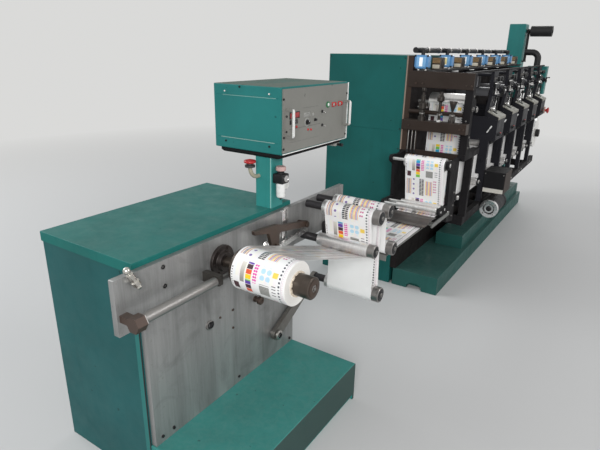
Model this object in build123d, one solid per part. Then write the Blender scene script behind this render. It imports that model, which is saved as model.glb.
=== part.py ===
from build123d import *

import os
from math import asin, atan2, cos, hypot, pi, sin

# Narrow-web flexographic label press with its rewind stand. All sizes in millimetres.
# +X points to the operator's side, +Y along the machine from rewinder to unwind, +Z up.
# The origin is on the floor below the delivery frame, 3 mm beside the web's centre line.

# Web
WEB_WIDTH = 220.0
WEB_THICK = 0.6
WEB_GAP = 0.3  # between the web and each roller it wraps
WEB_MIDDLE_X = 3.0
WEB_LEFT = WEB_MIDDLE_X - WEB_WIDTH / 2
WEB_RIGHT = WEB_MIDDLE_X + WEB_WIDTH / 2
HAND_OVER_Z = 638.0  # height of the roller that takes the web from the delivery table

# Rewind stand: cabinet, lid, ground plate and step
STAND_Y = -2150.0  # near end of the stand
STAND_LENGTH = 820.0
STAND_DEPTH = 478.0
STAND_CORNER = 5.0
LID_THICK = 34.0
LID_LIP = 4.0
LID_CORNER = 3.0
DOOR_MARGIN = 40.0
DOOR_SEAM = 3.0
PLATE_FACE_X = -215.0  # operator's face of the ground plate
PLATE_THICK = 22.0
PLATE_BAR_DEPTH = 183.0
PLATE_BAR_LOW = HAND_OVER_Z + 19.0
PLATE_BAR_HIGH = PLATE_BAR_LOW + PLATE_BAR_DEPTH
STAND_HEIGHT = PLATE_BAR_HIGH + 18.0  # the lid stands just above the plate
PLATE_BAR_BEFORE = 88.0  # the bar stands out past the near end
PLATE_BAR_LENGTH = 1342.0
PLATE_INSET = 6.0  # from the stand's near end to the lower plate
PLATE_CORNER = 3.0
# Holes and rubber plug: distance from the near end, depth below the plate's top, radius
PLATE_HOLES = [(96, 24, 7), (95, 89, 7), (415, 317, 6)]
PLUG = (290.0, 321.0, 15.0)
FOOT_HOLES = [(35, 25, 6), (86, 27, 6), (438, 24, 6)]  # distance, height above the step, radius
STEP_HEIGHT = 182.0
STEP_REACH = 333.0
STEP_CHAMFER = 3.0
STEP_TOE = 12.0  # recess below the step's front edge
STEP_TOE_HEIGHT = 26.0

# Rewind spindle and its roll
SPINDLE_Y = STAND_Y + 359.0
SPINDLE_Z = PLATE_BAR_HIGH - 91.0
ROLL_R = 76.0
CORE_R = 44.0
CORE_WALL = 6.0
CORE_PROUD = 5.0
CORE_NOTCHES = 12
MANDREL_R = CORE_R - CORE_WALL
MANDREL_BEYOND = 62.0
MANDREL_SLOTS = 3
SLOT_WIDTH = 6.0
SHAFT_R = 20.0
SHAFT_CLEAR = 0.06
BEARING_R = 58.0
BEARING_THICK = 26.0
BEARING_BOLTS = 6
BACK_FLANGE_R = 66.0
BACK_FLANGE_THICK = 14.0

# Guide rod, its end blocks and the air valve
GUIDE_X = PLATE_FACE_X + 60.0
GUIDE_Z = PLATE_BAR_HIGH - 120.0
GUIDE_R = 10.0
GUIDE_BLOCK_R = 27.0
VALVE_X = PLATE_FACE_X + 16.0
VALVE_TOP = (STAND_Y - 55.0, PLATE_BAR_HIGH + 32.0)
VALVE_FOOT = (STAND_Y - 12.0, PLATE_BAR_HIGH - 44.0)

# Rollers of the rewind stand: (y, z, radius)
ROLLER_START_X = -125.0
ROLLER_END_X = 145.0
JOURNAL_R = 9.0
BOSS_R = 17.0
FRONT_IDLER = (STAND_Y + 926.0, PLATE_BAR_HIGH - 17.0, 32.0)
BACK_IDLER = (STAND_Y + 1018.0, PLATE_BAR_HIGH - 12.0, 31.0)
BARE_ROLLER = (STAND_Y + 890.0, PLATE_BAR_LOW + 30.0, 28.0)
TABLE_IDLER = (STAND_Y + 1088.0, HAND_OVER_Z, 31.0)
DANCER_ROLLER = (STAND_Y + 974.0, HAND_OVER_Z - 182.0, 34.0)
HANGER_THICK = 14.0

# Dancer arm
ARM_PIVOT = (STAND_Y + 669.0, DANCER_ROLLER[1] - 161.0)
ARM_WIDE = 27.0  # half width at the pivot
ARM_SLIM = 21.0  # half width at the roller
ARM_THICK = 18.0
ARM_OFF_PLATE = 8.0
PIVOT_R = 12.0

# Control post, case and panel
POST_SIZE = 80.0
POST_CORNER = 6.0
POST_X = -268.0
POST_Y = STAND_Y + 717.0
CASE_WIDTH = 502.0
CASE_HEIGHT = 249.0
CASE_DEPTH = 330.0
CASE_FRONT_X = -161.0
CASE_Y = STAND_Y + 653.0
CASE_ABOVE_LID = 227.0
CASE_Z = STAND_HEIGHT + CASE_ABOVE_LID
TRAY_THICK = 20.0
PANEL_THICK = 5.0
PANEL_INSET = 7.0
HANDLE_HEIGHT = 110.0
HANDLE_REACH = 34.0
HANDLE_BAR = 9.0
STOP_X = POST_X - 22.0
STOP_Z = CASE_Z - 100.0
STOP_BEND = 45.0
NECK_R = 8.0
REGULATOR = (-271.0, STAND_Y + 785.0)
REGULATOR_ABOVE_LID = 8.0

# Delivery table between the stand and the press
TABLE_THICK = 3.0
TABLE_START_Y = STAND_Y + 1062.0
TABLE_END_Y = TABLE_START_Y + 598.0
TABLE_SIDE = 6.0  # past the web on each side
COVER_THICK = 3.0
COVER_SIDE = 15.0  # past the table on each side
COVER_BENDS = [(-660, 11), (-616, 8), (-590, 13), (-540, 17), (-478, 13)]  # place in Y, height over the table

# Press base and cabinet
PRESS_Y = -150.0  # front of the press frame
PRESS_END = 2400.0
PLINTH_LEFT_X = -213.0
PLINTH_RIGHT_X = 88.0
PLINTH_HEIGHT = 115.0
PLINTH_WALL_ARCH = 55.0
BED_START_Y = 450.0
BED_LEFT_X = -135.0
BED_RIGHT_X = 58.0
BED_HEIGHT = 210.0
DRIVE_FACE_X = -197.0  # inner face of the drive-side frame
DRIVE_THICK = 40.0
DRIVE_TOP = 1440.0
DRIVE_WAIST = 1285.0  # between the stations
HEAD_TOP = 1350.0  # top of the uprights and heads, which carry the top rails
CABINET_WIDTH = 515.0
CABINET_DEPTH = 620.0
CABINET_HEIGHT = 1440.0
CABINET_SEAM_Z = 1005.0
VENTS = 8

# Members across the delivery: top beam, crossbeam and bar
RAIL_THICK = 10.0
RAIL_TOP = HEAD_TOP + RAIL_THICK
BEAM_HEIGHT = 91.0
CROSSBEAM_TOP = 1088.0
CROSSBEAM_HEIGHT = 58.0
BAR_Z = CROSSBEAM_TOP + 44.0

# Operator's side: portal, shelf, lower rail
OPERATOR_X = 118.0  # inner face of the operator's side
PORTAL_THICK = 42.0
POST_DEPTH = 45.0
SHELF_LOW = 875.0
SHELF_HIGH = 911.0
RAIL_LOW = 440.0
RAIL_HIGH = 500.0
RAIL_WIDTH = 32.0

# Print stations
STATIONS = 5
PITCH = 420.0
FIRST_STATION_Y = 410.0
HOUSING_DEPTH = 200.0
HOUSING_LOW = 915.0
HOUSING_HIGH = 1068.0
HOUSING_OUT = 190.0
HOUSING_RISE = 32.0
HOUSING_CHAMFER = 8.0
LID_SHEET = 4.0
SCREW_SHELF = (1195.0, 1207.0)  # under and top of the shelf that carries a station's pressure screws
SCREW_REACH = 30.0
SCREW_OFF_MIDDLE = 27.0
SCREW_R = 12.0
SCREW_HEIGHT = 66.0
FLANGE_X = 91.0
FLANGE_THICK = 6.0
FLANGE_LOW = 690.0
HEAD_THICK = 20.0
IMPRESSION_R = 70.0
PLATE_CYL_R = 45.0
ANILOX_R = 38.0
NIP_GAP = 1.0
CYL_Z = 790.0
LOW_IDLER_R = 25.0
LOW_IDLER_Z = 640.0
STRAND_BACK = 10.0  # from the station's near face to its first strand
STATION_MIDDLE = 105.0  # from the station's near face to its hood, head knob and duct
HOOD_R = 52.0
HOOD_Z = 1195.0
HOOD_WIDTH = 214.0
SHEET = 3.0

# Delivery frame rollers: (y, z, radius)
TOP_ROLLER = (-5.0, 1180.0, 55.0)
RISE_ROLLER = (-278.0, HAND_OVER_Z - 38.0, 22.0)
CREST_ROLLER = (-335.0, 880.0, 35.0)
TURN_ROLLER = (-344.0, HAND_OVER_Z - 5.0, 22.0)
HOLD_ROLLER = (-410.0, HAND_OVER_Z - 4.5, 22.0)  # rests over the web where it leaves the frame
OUTFEED_THICK = 18.0
OUTFEED_OUT_X = OPERATOR_X - 2.0 + OUTFEED_THICK
OUTFEED_NEAR_Y = -310.0  # near edge of the outfeed plates at their top
EAR_THICK = 6.0
COLLAR_R = 14.0
EAR_CLEAR = 0.5

# Lamp boxes on the top rail
LAMP_PITCH = 430.0
LAMP_X = (-196.0, -114.0)
LAMP_LIFT = 10.0  # feet under each lamp
LAMP_HEIGHT = 74.0
LAMP_DEPTH = 45.0
FAN_X = (-178.0, -118.0)
FAN_BEHIND = 240.0  # from a lamp's face to its fan's face
FAN_DEPTH = 70.0
FAN_HEIGHT = 70.0
DUCT_R = 16.0
BRANCH_R = 11.0
LAMPS = 6

# Feed motor on the lower rail
MOTOR_R = 62.0
MOTOR_Z = 458.0

# Unwind end
UNWIND_Y = 2450.0
UNWIND_POST = (-262.0, -112.0)
UNWIND_POST_HEIGHT = 1725.0
TOP_BAR = (UNWIND_Y + 75.0, UNWIND_POST_HEIGHT - 64.0, 48.0)
UNWIND_ROLL = (UNWIND_Y + 120.0, 700.0, 140.0)
OUTLET_R = 28.0
UNWIND_CORE_R = 38.0
TOP_STAY = 281.0  # from the top bar down to the foot of its two stays


def block(x0, x1, y0, y1, z0, z1):
    """Box between two corners."""
    centre = ((x0 + x1) / 2, (y0 + y1) / 2, (z0 + z1) / 2)
    return Pos(*centre) * Box(x1 - x0, y1 - y0, z1 - z0)


def rod_x(y, z, r, x0, x1):
    """Round bar along X."""
    return Pos((x0 + x1) / 2, y, z) * Rot(0, 90, 0) * Cylinder(r, x1 - x0)


def rod_y(x, z, r, y0, y1):
    """Round bar along Y."""
    return Pos(x, (y0 + y1) / 2, z) * Rot(90, 0, 0) * Cylinder(r, y1 - y0)


def rod_z(x, y, r, z0, z1):
    """Round bar along Z."""
    return Pos(x, y, (z0 + z1) / 2) * Cylinder(r, z1 - z0)


def profile(corners):
    """Flat face from (u, v) corners; a third value rounds that corner."""
    face = make_face(Polyline(*[c[:2] for c in corners], close=True))
    for radius in sorted({c[2] for c in corners if len(c) > 2}):
        spots = [Vector(c[0], c[1]) for c in corners if len(c) > 2 and c[2] == radius]
        found = [v for v in face.vertices() if any((Vector(v.X, v.Y) - s).length < 0.01 for s in spots)]
        face = fillet(found, radius)
    return face


def sheet_x(corners, x0, x1):
    """Plate cut to an outline of (y, z) corners, between two X planes."""
    plane = Plane((x0, 0, 0), x_dir=(0, 1, 0), z_dir=(1, 0, 0))
    return extrude(plane * profile(corners), amount=x1 - x0, dir=(1, 0, 0))


def sheet_y(corners, y0, y1):
    """Plate cut to an outline of (x, z) corners, between two Y planes."""
    plane = Plane((0, y0, 0), x_dir=(1, 0, 0), z_dir=(0, -1, 0))
    return extrude(plane * profile(corners), amount=y1 - y0, dir=(0, 1, 0))


def turned_x(outline, y, z):
    """Solid turned about an X axis through (y, z) from an outline of (x, radius) corners."""
    face = Plane.XZ * profile(outline)
    return Pos(0, y, z) * revolve(face, axis=Axis.X)


def turned_y(outline, x, z):
    """Solid turned about a Y axis through (x, z) from an outline of (y, radius) corners."""
    face = Plane.YZ * profile(outline)
    return Pos(x, 0, z) * revolve(face, axis=Axis.Y)


def turned_z(outline, x, y):
    """Solid turned about a Z axis through (x, y) from an outline of (radius, z) corners."""
    face = Plane.XZ * profile(outline)
    return Pos(x, y, 0) * revolve(face, axis=Axis.Z)


def tangent(a, b):
    """Direction of the straight run from roller a to roller b, with its left normal."""
    (ya, za, ra, sa), (yb, zb, rb, sb) = a, b
    span = hypot(yb - ya, zb - za)
    angle = atan2(zb - za, yb - ya) - asin((sb * rb - sa * ra) / span)
    return angle, (-sin(angle), cos(angle))


def web_strip(rollers):
    """Web laid round rollers given as (y, z, radius, turn), turn +1 for anticlockwise.

    The first and last rollers are only touched: the strip starts and ends at their tangent points.
    """
    runs = [tangent(a, b) for a, b in zip(rollers, rollers[1:])]

    def side(offset):
        """Edges of the line at this offset to the left of the web's middle."""
        edges = []
        for i, (angle, normal) in enumerate(runs):
            ends = []
            for y, z, r, s in (rollers[i], rollers[i + 1]):
                reach = offset - s * r
                ends.append((0, y + normal[0] * reach, z + normal[1] * reach))
            edges.append(Line(*ends))
        joined = [edges[0]]
        for i, (before, after) in enumerate(zip(edges, edges[1:])):
            y, z, r, s = rollers[i + 1]
            start, end = runs[i][0], runs[i + 1][0]
            turn = (end - start) % (2 * pi) if s > 0 else -((start - end) % (2 * pi))
            middle = start + turn / 2
            reach = offset - s * r
            via = (0, y - sin(middle) * reach, z + cos(middle) * reach)
            joined += [ThreePointArc(before @ 1, via, after @ 0), after]
        return joined

    left = side(WEB_THICK / 2)
    right = side(-WEB_THICK / 2)
    caps = [Line(left[0] @ 0, right[0] @ 0), Line(left[-1] @ 1, right[-1] @ 1)]
    face = make_face(left + right + caps)
    return Pos(WEB_LEFT, 0, 0) * extrude(face, amount=WEB_WIDTH, dir=(1, 0, 0))


def wrapped(roller, turn):
    """Roller as the web's middle line goes round it."""
    y, z, r = roller
    return y, z, r + WEB_GAP + WEB_THICK / 2, turn


def idler(roller, x_wall):
    """Cantilevered roller with a recessed end, its journal and its boss on a wall at x_wall."""
    y, z, r = roller
    end = ROLLER_END_X
    outline = [(x_wall, 0), (x_wall, BOSS_R), (ROLLER_START_X - 3, BOSS_R), (ROLLER_START_X - 3, JOURNAL_R),
               (ROLLER_START_X, JOURNAL_R), (ROLLER_START_X, r - 1), (ROLLER_START_X + 1, r), (end - 2, r),
               (end, r - 2), (end, r - 6), (end - 6, r - 6), (end - 6, JOURNAL_R + 3), (end - 3, JOURNAL_R + 3),
               (end - 3, 4), (end - 12, 4), (end - 12, 0)]
    return turned_x(outline, y, z)


def spanning(roller, operator_x=OPERATOR_X, collar=False):
    """Roller between the drive side and operator_x; a collar shows past the ear that carries it."""
    y, z, r = roller
    start, end = WEB_LEFT - 12, operator_x - 3
    outline = [(DRIVE_FACE_X, 0), (DRIVE_FACE_X, JOURNAL_R), (start, JOURNAL_R), (start, r - 1),
               (start + 1, r), (end - 1, r), (end, r - 1), (end, JOURNAL_R)]
    if collar:
        ear = operator_x + EAR_THICK
        outline += [(ear, JOURNAL_R), (ear, COLLAR_R), (ear + 9, COLLAR_R), (ear + 11, COLLAR_R - 2),
                    (ear + 11, 0)]
    else:
        outline += [(operator_x, JOURNAL_R), (operator_x, 0)]
    return turned_x(outline, y, z)


def link(a, ra, b, rb, x0, x1):
    """Flat bar between two round ends, a and b given as (y, z)."""
    span = hypot(b[0] - a[0], b[1] - a[1])
    lean = atan2(b[1] - a[1], b[0] - a[0])
    splay = asin((ra - rb) / span)
    corners = []
    for sign, centre, radius in ((1, a, ra), (1, b, rb), (-1, b, rb), (-1, a, ra)):
        angle = lean + sign * (pi / 2 - splay)
        corners.append((centre[0] + radius * cos(angle), centre[1] + radius * sin(angle)))
    return sheet_x(corners, x0, x1) + rod_x(*a, ra, x0, x1) + rod_x(*b, rb, x0, x1)


parts = {}

# Rewind stand: cabinet with its door, lid, plate and step
back_x = PLATE_FACE_X - PLATE_THICK
stand_x0 = back_x - STAND_DEPTH
stand_end = STAND_Y + STAND_LENGTH
body_top = STAND_HEIGHT - LID_THICK
cabinet = block(stand_x0, back_x, STAND_Y, stand_end, 0, body_top)
cabinet = fillet(cabinet.edges().filter_by(Axis.Z).group_by(Axis.X)[0], STAND_CORNER)
door = (STAND_Y + DOOR_MARGIN, stand_end - DOOR_MARGIN, DOOR_MARGIN, body_top - DOOR_MARGIN)
seam_out = block(stand_x0 - 1, stand_x0 + DOOR_SEAM, *door)
seam_in = block(stand_x0 - 2, stand_x0 + DOOR_SEAM + 1, door[0] + DOOR_SEAM, door[1] - DOOR_SEAM,
                door[2] + DOOR_SEAM, door[3] - DOOR_SEAM)
cabinet -= seam_out - seam_in
for k in range(VENTS):
    z = 250 + 18 * k
    cabinet -= block(stand_x0 - 1, stand_x0 + 6, STAND_Y + 280, stand_end - 280, z, z + 6)
parts["rewind_cabinet"] = cabinet
lid = block(stand_x0 - LID_LIP, back_x, STAND_Y - LID_LIP, stand_end + LID_LIP, body_top, STAND_HEIGHT)
lid = fillet(lid.edges().filter_by(Axis.Z).group_by(Axis.X)[0], STAND_CORNER)
parts["rewind_lid"] = fillet(lid.edges().group_by(Axis.Z)[-1], LID_CORNER)

bar_y0 = STAND_Y - PLATE_BAR_BEFORE
bar_y1 = bar_y0 + PLATE_BAR_LENGTH
low_y0 = STAND_Y + PLATE_INSET
low_y1 = stand_end + 3
plate = sheet_x([(bar_y0, PLATE_BAR_LOW, PLATE_CORNER), (low_y0, PLATE_BAR_LOW), (low_y0, STEP_HEIGHT),
                 (low_y1, STEP_HEIGHT), (low_y1, PLATE_BAR_LOW), (bar_y1, PLATE_BAR_LOW, PLATE_CORNER),
                 (bar_y1, PLATE_BAR_HIGH, PLATE_CORNER), (bar_y0, PLATE_BAR_HIGH, PLATE_CORNER)],
                back_x, PLATE_FACE_X)
for y, drop, r in PLATE_HOLES:
    plate -= rod_x(STAND_Y + y, PLATE_BAR_HIGH - drop, r, back_x - 1, PLATE_FACE_X + 1)
for y, rise, r in FOOT_HOLES:
    plate -= rod_x(STAND_Y + y, STEP_HEIGHT + rise, r, back_x - 1, PLATE_FACE_X + 1)
plug_y, plug_z = STAND_Y + PLUG[0], PLATE_BAR_HIGH - PLUG[1]
plate -= rod_x(plug_y, plug_z, PLUG[2] - 4, PLATE_FACE_X - 8, PLATE_FACE_X + 1)
plate -= rod_x(SPINDLE_Y, SPINDLE_Z, SHAFT_R + 2, back_x - 1, PLATE_FACE_X + 1)
parts["rewind_plate"] = plate
parts["plate_plug"] = turned_x([(PLATE_FACE_X, 0), (PLATE_FACE_X, PLUG[2]), (PLATE_FACE_X + 3, PLUG[2]),
                                (PLATE_FACE_X + 6, PLUG[2] - 3), (PLATE_FACE_X + 6, 7), (PLATE_FACE_X + 3, 6),
                                (PLATE_FACE_X + 3, 0)], plug_y, plug_z)
step_x1 = PLATE_FACE_X + STEP_REACH
step = block(back_x, step_x1, STAND_Y, stand_end + 3, 0, STEP_HEIGHT)
step = chamfer(step.edges().group_by(Axis.Z)[-1], STEP_CHAMFER)
parts["rewind_step"] = step - block(step_x1 - STEP_TOE, step_x1 + 1, STAND_Y + STEP_TOE,
                                    stand_end + 3 - STEP_TOE, -1, STEP_TOE_HEIGHT)

# Spindle with its bearing, slotted mandrel, core and roll
bearing_x1 = PLATE_FACE_X + BEARING_THICK
bearing = turned_x([(PLATE_FACE_X, SHAFT_R + SHAFT_CLEAR), (PLATE_FACE_X, BEARING_R),
                    (PLATE_FACE_X + 11, BEARING_R, 2), (PLATE_FACE_X + 11, 38, 3), (bearing_x1, 34, 2),
                    (bearing_x1, SHAFT_R + SHAFT_CLEAR)], SPINDLE_Y, SPINDLE_Z)
for k in range(BEARING_BOLTS):
    turn = 2 * pi * k / BEARING_BOLTS
    bearing += rod_x(SPINDLE_Y + 48 * cos(turn), SPINDLE_Z + 48 * sin(turn), 5, PLATE_FACE_X + 10,
                     PLATE_FACE_X + 16)
parts["spindle_bearing"] = bearing
flange_x1 = WEB_LEFT - CORE_PROUD
flange_x0 = flange_x1 - BACK_FLANGE_THICK
core_x1 = WEB_RIGHT + CORE_PROUD
nose_x = WEB_RIGHT + MANDREL_BEYOND
spindle = turned_x([(back_x + 2, 0), (back_x + 2, SHAFT_R), (flange_x0, SHAFT_R), (flange_x0, BACK_FLANGE_R - 3),
                    (flange_x0 + 3, BACK_FLANGE_R), (flange_x1 - 2, BACK_FLANGE_R),
                    (flange_x1, BACK_FLANGE_R - 2), (flange_x1, MANDREL_R), (nose_x - 3, MANDREL_R),
                    (nose_x, MANDREL_R - 3), (nose_x, 22), (nose_x - 4, 20), (nose_x - 4, 8), (nose_x + 4, 8),
                    (nose_x + 4, 3), (nose_x, 3), (nose_x, 0)], SPINDLE_Y, SPINDLE_Z)
slot = block(flange_x1 + 20, core_x1 - 20, -SLOT_WIDTH / 2, SLOT_WIDTH / 2, MANDREL_R - 4, MANDREL_R + 1)
for k in range(MANDREL_SLOTS):
    turned = Rot(360 * (k + 0.25) / MANDREL_SLOTS, 0, 0) * slot
    spindle -= Pos(0, SPINDLE_Y, SPINDLE_Z) * turned
parts["rewind_spindle"] = spindle
core = rod_x(SPINDLE_Y, SPINDLE_Z, CORE_R, flange_x1, core_x1)
core -= rod_x(SPINDLE_Y, SPINDLE_Z, MANDREL_R, flange_x1 - 1, core_x1 + 1)
notch = block(core_x1 - 3, core_x1 + 1, -4, 4, MANDREL_R - 1, CORE_R + 1)
for k in range(CORE_NOTCHES):
    core -= Pos(0, SPINDLE_Y, SPINDLE_Z) * (Rot(360 * k / CORE_NOTCHES, 0, 0) * notch)
parts["roll_core"] = core
parts["label_roll"] = turned_x([(WEB_LEFT, CORE_R), (WEB_LEFT, ROLL_R - 1), (WEB_LEFT + 1, ROLL_R),
                                (WEB_RIGHT - 1, ROLL_R), (WEB_RIGHT, ROLL_R - 1), (WEB_RIGHT, CORE_R)],
                               SPINDLE_Y, SPINDLE_Z)

# Guide rod between a hexagonal block and a forked one, and the air valve
guide = rod_y(GUIDE_X, GUIDE_Z, GUIDE_R, STAND_Y - 50, STAND_Y + 330)
hexagon = Plane((GUIDE_X, STAND_Y - 84, GUIDE_Z - 4), x_dir=(1, 0, 0), z_dir=(0, 1, 0))
guide += extrude(hexagon * RegularPolygon(GUIDE_BLOCK_R, 6), amount=38)
guide += block(PLATE_FACE_X, GUIDE_X, STAND_Y - 80, STAND_Y - 52, GUIDE_Z - 14, GUIDE_Z + 8)
guide += block(PLATE_FACE_X, GUIDE_X + 14, STAND_Y + 262, STAND_Y + 284, GUIDE_Z - 16, GUIDE_Z + 20)
parts["guide_rod"] = guide
lean = atan2(VALVE_TOP[0] - VALVE_FOOT[0], VALVE_TOP[1] - VALVE_FOOT[1])
valve_length = hypot(VALVE_TOP[0] - VALVE_FOOT[0], VALVE_TOP[1] - VALVE_FOOT[1])
valve = turned_z([(0, 0), (7, 0), (9, 6), (7, 12), (7, 16), (13, 16), (13, 30), (8, 33), (8, 46), (11, 46),
                  (11, 62), (6, 65), (6, 70), (0, 70)], 0, 0)
valve += Pos(0, 0, valve_length - 9) * Sphere(11)
valve = Pos(VALVE_X, VALVE_FOOT[0], VALVE_FOOT[1]) * (Rot(-lean * 180 / pi, 0, 0) * valve)
valve += rod_x(VALVE_FOOT[0] - 16, VALVE_FOOT[1] + 29, 8, PLATE_FACE_X, VALVE_X)
parts["air_valve"] = valve

# Rollers of the stand
hanger_x1 = PLATE_FACE_X + HANGER_THICK
hanger_y = (TABLE_IDLER[0] - 26, TABLE_IDLER[0] + 26)
hanger = sheet_x([(hanger_y[0], TABLE_IDLER[1] - 26, 12), (hanger_y[1], TABLE_IDLER[1] - 26, 12),
                  (hanger_y[1], PLATE_BAR_LOW + 40, 8), (hanger_y[0], PLATE_BAR_LOW + 40, 8)],
                 PLATE_FACE_X, hanger_x1)
arm_x1 = PLATE_FACE_X + ARM_OFF_PLATE + ARM_THICK
parts["idler_rollers"] = Compound([idler(FRONT_IDLER, PLATE_FACE_X), idler(BACK_IDLER, PLATE_FACE_X),
                                   idler(BARE_ROLLER, PLATE_FACE_X), idler(TABLE_IDLER, hanger_x1) + hanger])
parts["dancer_roller"] = idler(DANCER_ROLLER, arm_x1)

# Dancer arm on its pivot bolt
arm_x0 = PLATE_FACE_X + ARM_OFF_PLATE
arm = link(ARM_PIVOT, ARM_WIDE, DANCER_ROLLER[:2], ARM_SLIM, arm_x0, arm_x1)
arm += rod_x(*ARM_PIVOT, PIVOT_R + 6, PLATE_FACE_X, arm_x0)
arm += turned_x([(arm_x1, 0), (arm_x1, PIVOT_R + 3), (arm_x1 + 7, PIVOT_R + 3), (arm_x1 + 9, PIVOT_R + 1),
                 (arm_x1 + 9, 5), (arm_x1 + 4, 5), (arm_x1 + 4, 0)], *ARM_PIVOT)
parts["dancer_arm"] = arm

# Bent lay-on arm over the roll, its studs, stay and shield
layon_x0 = PLATE_FACE_X + 28
arm_bends = [(498, -16, 3), (500, -32, 3), (588, -50, 12), (616, -136, 6), (652, -136, 6), (658, -65, 12),
             (872, -102, 6), (872, -76, 6), (690, -43, 10), (640, -28, 10)]
layon = sheet_x([(STAND_Y + y, PLATE_BAR_HIGH + z, r) for y, z, r in arm_bends], layon_x0, layon_x0 + 14)
layon += rod_x(STAND_Y + 858, PLATE_BAR_HIGH - 89, 13, PLATE_FACE_X, layon_x0 + 20)
layon += rod_x(STAND_Y + 634, PLATE_BAR_HIGH - 118, 11, PLATE_FACE_X, layon_x0 + 22)
parts["layon_arm"] = layon
stay_ends = [(STAND_Y + 682.0, PLATE_BAR_LOW + 41.0), (STAND_Y + 886.0, PLATE_BAR_LOW + 59.0)]
stay = link(stay_ends[0], 11, stay_ends[1], 11, PLATE_FACE_X + 14, PLATE_FACE_X + 26)
stay += rod_x(*stay_ends[0], 9, PLATE_FACE_X, PLATE_FACE_X + 30)
shield_low, shield_high = PLATE_BAR_HIGH - 58, PLATE_BAR_HIGH + 6
shield = sheet_x([(STAND_Y + 738, shield_low, 2), (STAND_Y + 770, shield_low, 2),
                  (STAND_Y + 772, shield_high, 2), (STAND_Y + 740, shield_high, 2)],
                 PLATE_FACE_X, PLATE_FACE_X + 5)
parts["stay_bars"] = Compound([stay, shield])

# Control post, tray, case, panel and its buttons
case_x0 = CASE_FRONT_X - CASE_DEPTH
case_y1 = CASE_Y + CASE_WIDTH
case_top = CASE_Z + CASE_HEIGHT
half = POST_SIZE / 2
post = block(POST_X - half, POST_X + half, POST_Y - half, POST_Y + half, STAND_HEIGHT, CASE_Z - TRAY_THICK)
parts["control_post"] = fillet(post.edges().filter_by(Axis.Z), POST_CORNER)
tray = block(case_x0 + 20, CASE_FRONT_X - 20, CASE_Y + 10, case_y1 - 10, CASE_Z - TRAY_THICK, CASE_Z)
parts["control_tray"] = chamfer(tray.edges().group_by(Axis.Z)[0], 8)
panel_x0 = CASE_FRONT_X - PANEL_THICK
case = block(case_x0, panel_x0, CASE_Y, case_y1, CASE_Z, case_top)
case = fillet(case.edges().filter_by(Axis.X), 4)
for z in (CASE_Z + 42, case_top - 42):
    groove = block(case_x0 + 12, panel_x0 - 12, CASE_Y - 1, CASE_Y + 1.5, z, z + 2)
    groove += block(case_x0 + 12, panel_x0 - 12, case_y1 - 1.5, case_y1 + 1, z, z + 2)
    case -= groove
for k in range(VENTS):
    y = CASE_Y + 120 + 36 * k
    case -= block(case_x0 + 60, case_x0 + 180, y, y + 6, case_top - 3, case_top + 1)
parts["control_case"] = case
panel = block(panel_x0, CASE_FRONT_X, CASE_Y + PANEL_INSET, case_y1 - PANEL_INSET, CASE_Z + PANEL_INSET,
              case_top - PANEL_INSET)
panel_mid_z = CASE_Z + 118
windows = [(52, 78, 138, 152), (52, 74, 112, 126), (148, 196, 128, 146), (210, 226, 128, 140)]
for y0, y1, z0, z1 in windows:
    panel -= block(CASE_FRONT_X - 2, CASE_FRONT_X + 1, CASE_Y + y0, CASE_Y + y1, CASE_Z + z0, CASE_Z + z1)
grip = profile([(0, 0), (HANDLE_REACH, 0, 12), (HANDLE_REACH, HANDLE_HEIGHT, 12), (0, HANDLE_HEIGHT)])
inside = profile([(-1, HANDLE_BAR), (HANDLE_REACH - HANDLE_BAR, HANDLE_BAR, 5),
                  (HANDLE_REACH - HANDLE_BAR, HANDLE_HEIGHT - HANDLE_BAR, 5), (-1, HANDLE_HEIGHT - HANDLE_BAR)])
for y in (CASE_Y + 26, case_y1 - 26 - HANDLE_BAR):
    plane = Plane((CASE_FRONT_X, y, panel_mid_z - HANDLE_HEIGHT / 2), x_dir=(1, 0, 0), z_dir=(0, -1, 0))
    panel += extrude(plane * (grip - inside), amount=HANDLE_BAR, dir=(0, 1, 0))
parts["control_panel"] = panel
buttons = []
for y, z, r in ((372, 176, 9), (408, 176, 9), (434, 176, 9), (340, 150, 5), (340, 96, 5), (168, 96, 4),
                (184, 96, 4)):
    x = CASE_FRONT_X
    buttons.append(turned_x([(x, 0), (x, r), (x + 5, r), (x + 7, r - 2), (x + 7, 0)], CASE_Y + y, CASE_Z + z))
parts["panel_buttons"] = Compound(buttons)

# Stop button on its bent neck
post_near_y = POST_Y - POST_SIZE / 2
bend_y = post_near_y - 10
bend_axis = Axis((STOP_X, bend_y, STOP_Z + STOP_BEND), (1, 0, 0))
neck_end = Plane((STOP_X, bend_y, STOP_Z), x_dir=(1, 0, 0), z_dir=(0, -1, 0))
stop = rod_y(STOP_X, STOP_Z, NECK_R, bend_y, post_near_y)
stop += revolve(neck_end * Circle(NECK_R), axis=bend_axis, revolution_arc=-90)
stop_z = STOP_Z + STOP_BEND
stop += turned_z([(0, stop_z), (20, stop_z), (20, stop_z + 8), (14, stop_z + 10), (14, stop_z + 14),
                  (24, stop_z + 18, 3), (24, stop_z + 26, 5), (0, stop_z + 32)], STOP_X, bend_y - STOP_BEND)
parts["stop_button"] = stop

# Air filter and regulator: bowl, body with its gauge, knob
reg_x, reg_y = REGULATOR
regulator = turned_z([(0, 0), (14, 4, 4), (20, 18, 6), (20, 42), (27, 44), (27, 90, 4), (19, 94), (15, 100),
                      (20, 106, 3), (20, 146, 4), (0, 148)], reg_x, reg_y)
regulator += rod_y(reg_x, 66, 12, POST_Y + POST_SIZE / 2, reg_y)
regulator += turned_x([(reg_x, 0), (reg_x, 19), (reg_x + 40, 19), (reg_x + 42, 17), (reg_x + 42, 0)], reg_y, 68)
parts["air_regulator"] = Pos(0, 0, STAND_HEIGHT + REGULATOR_ABOVE_LID) * regulator

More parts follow.
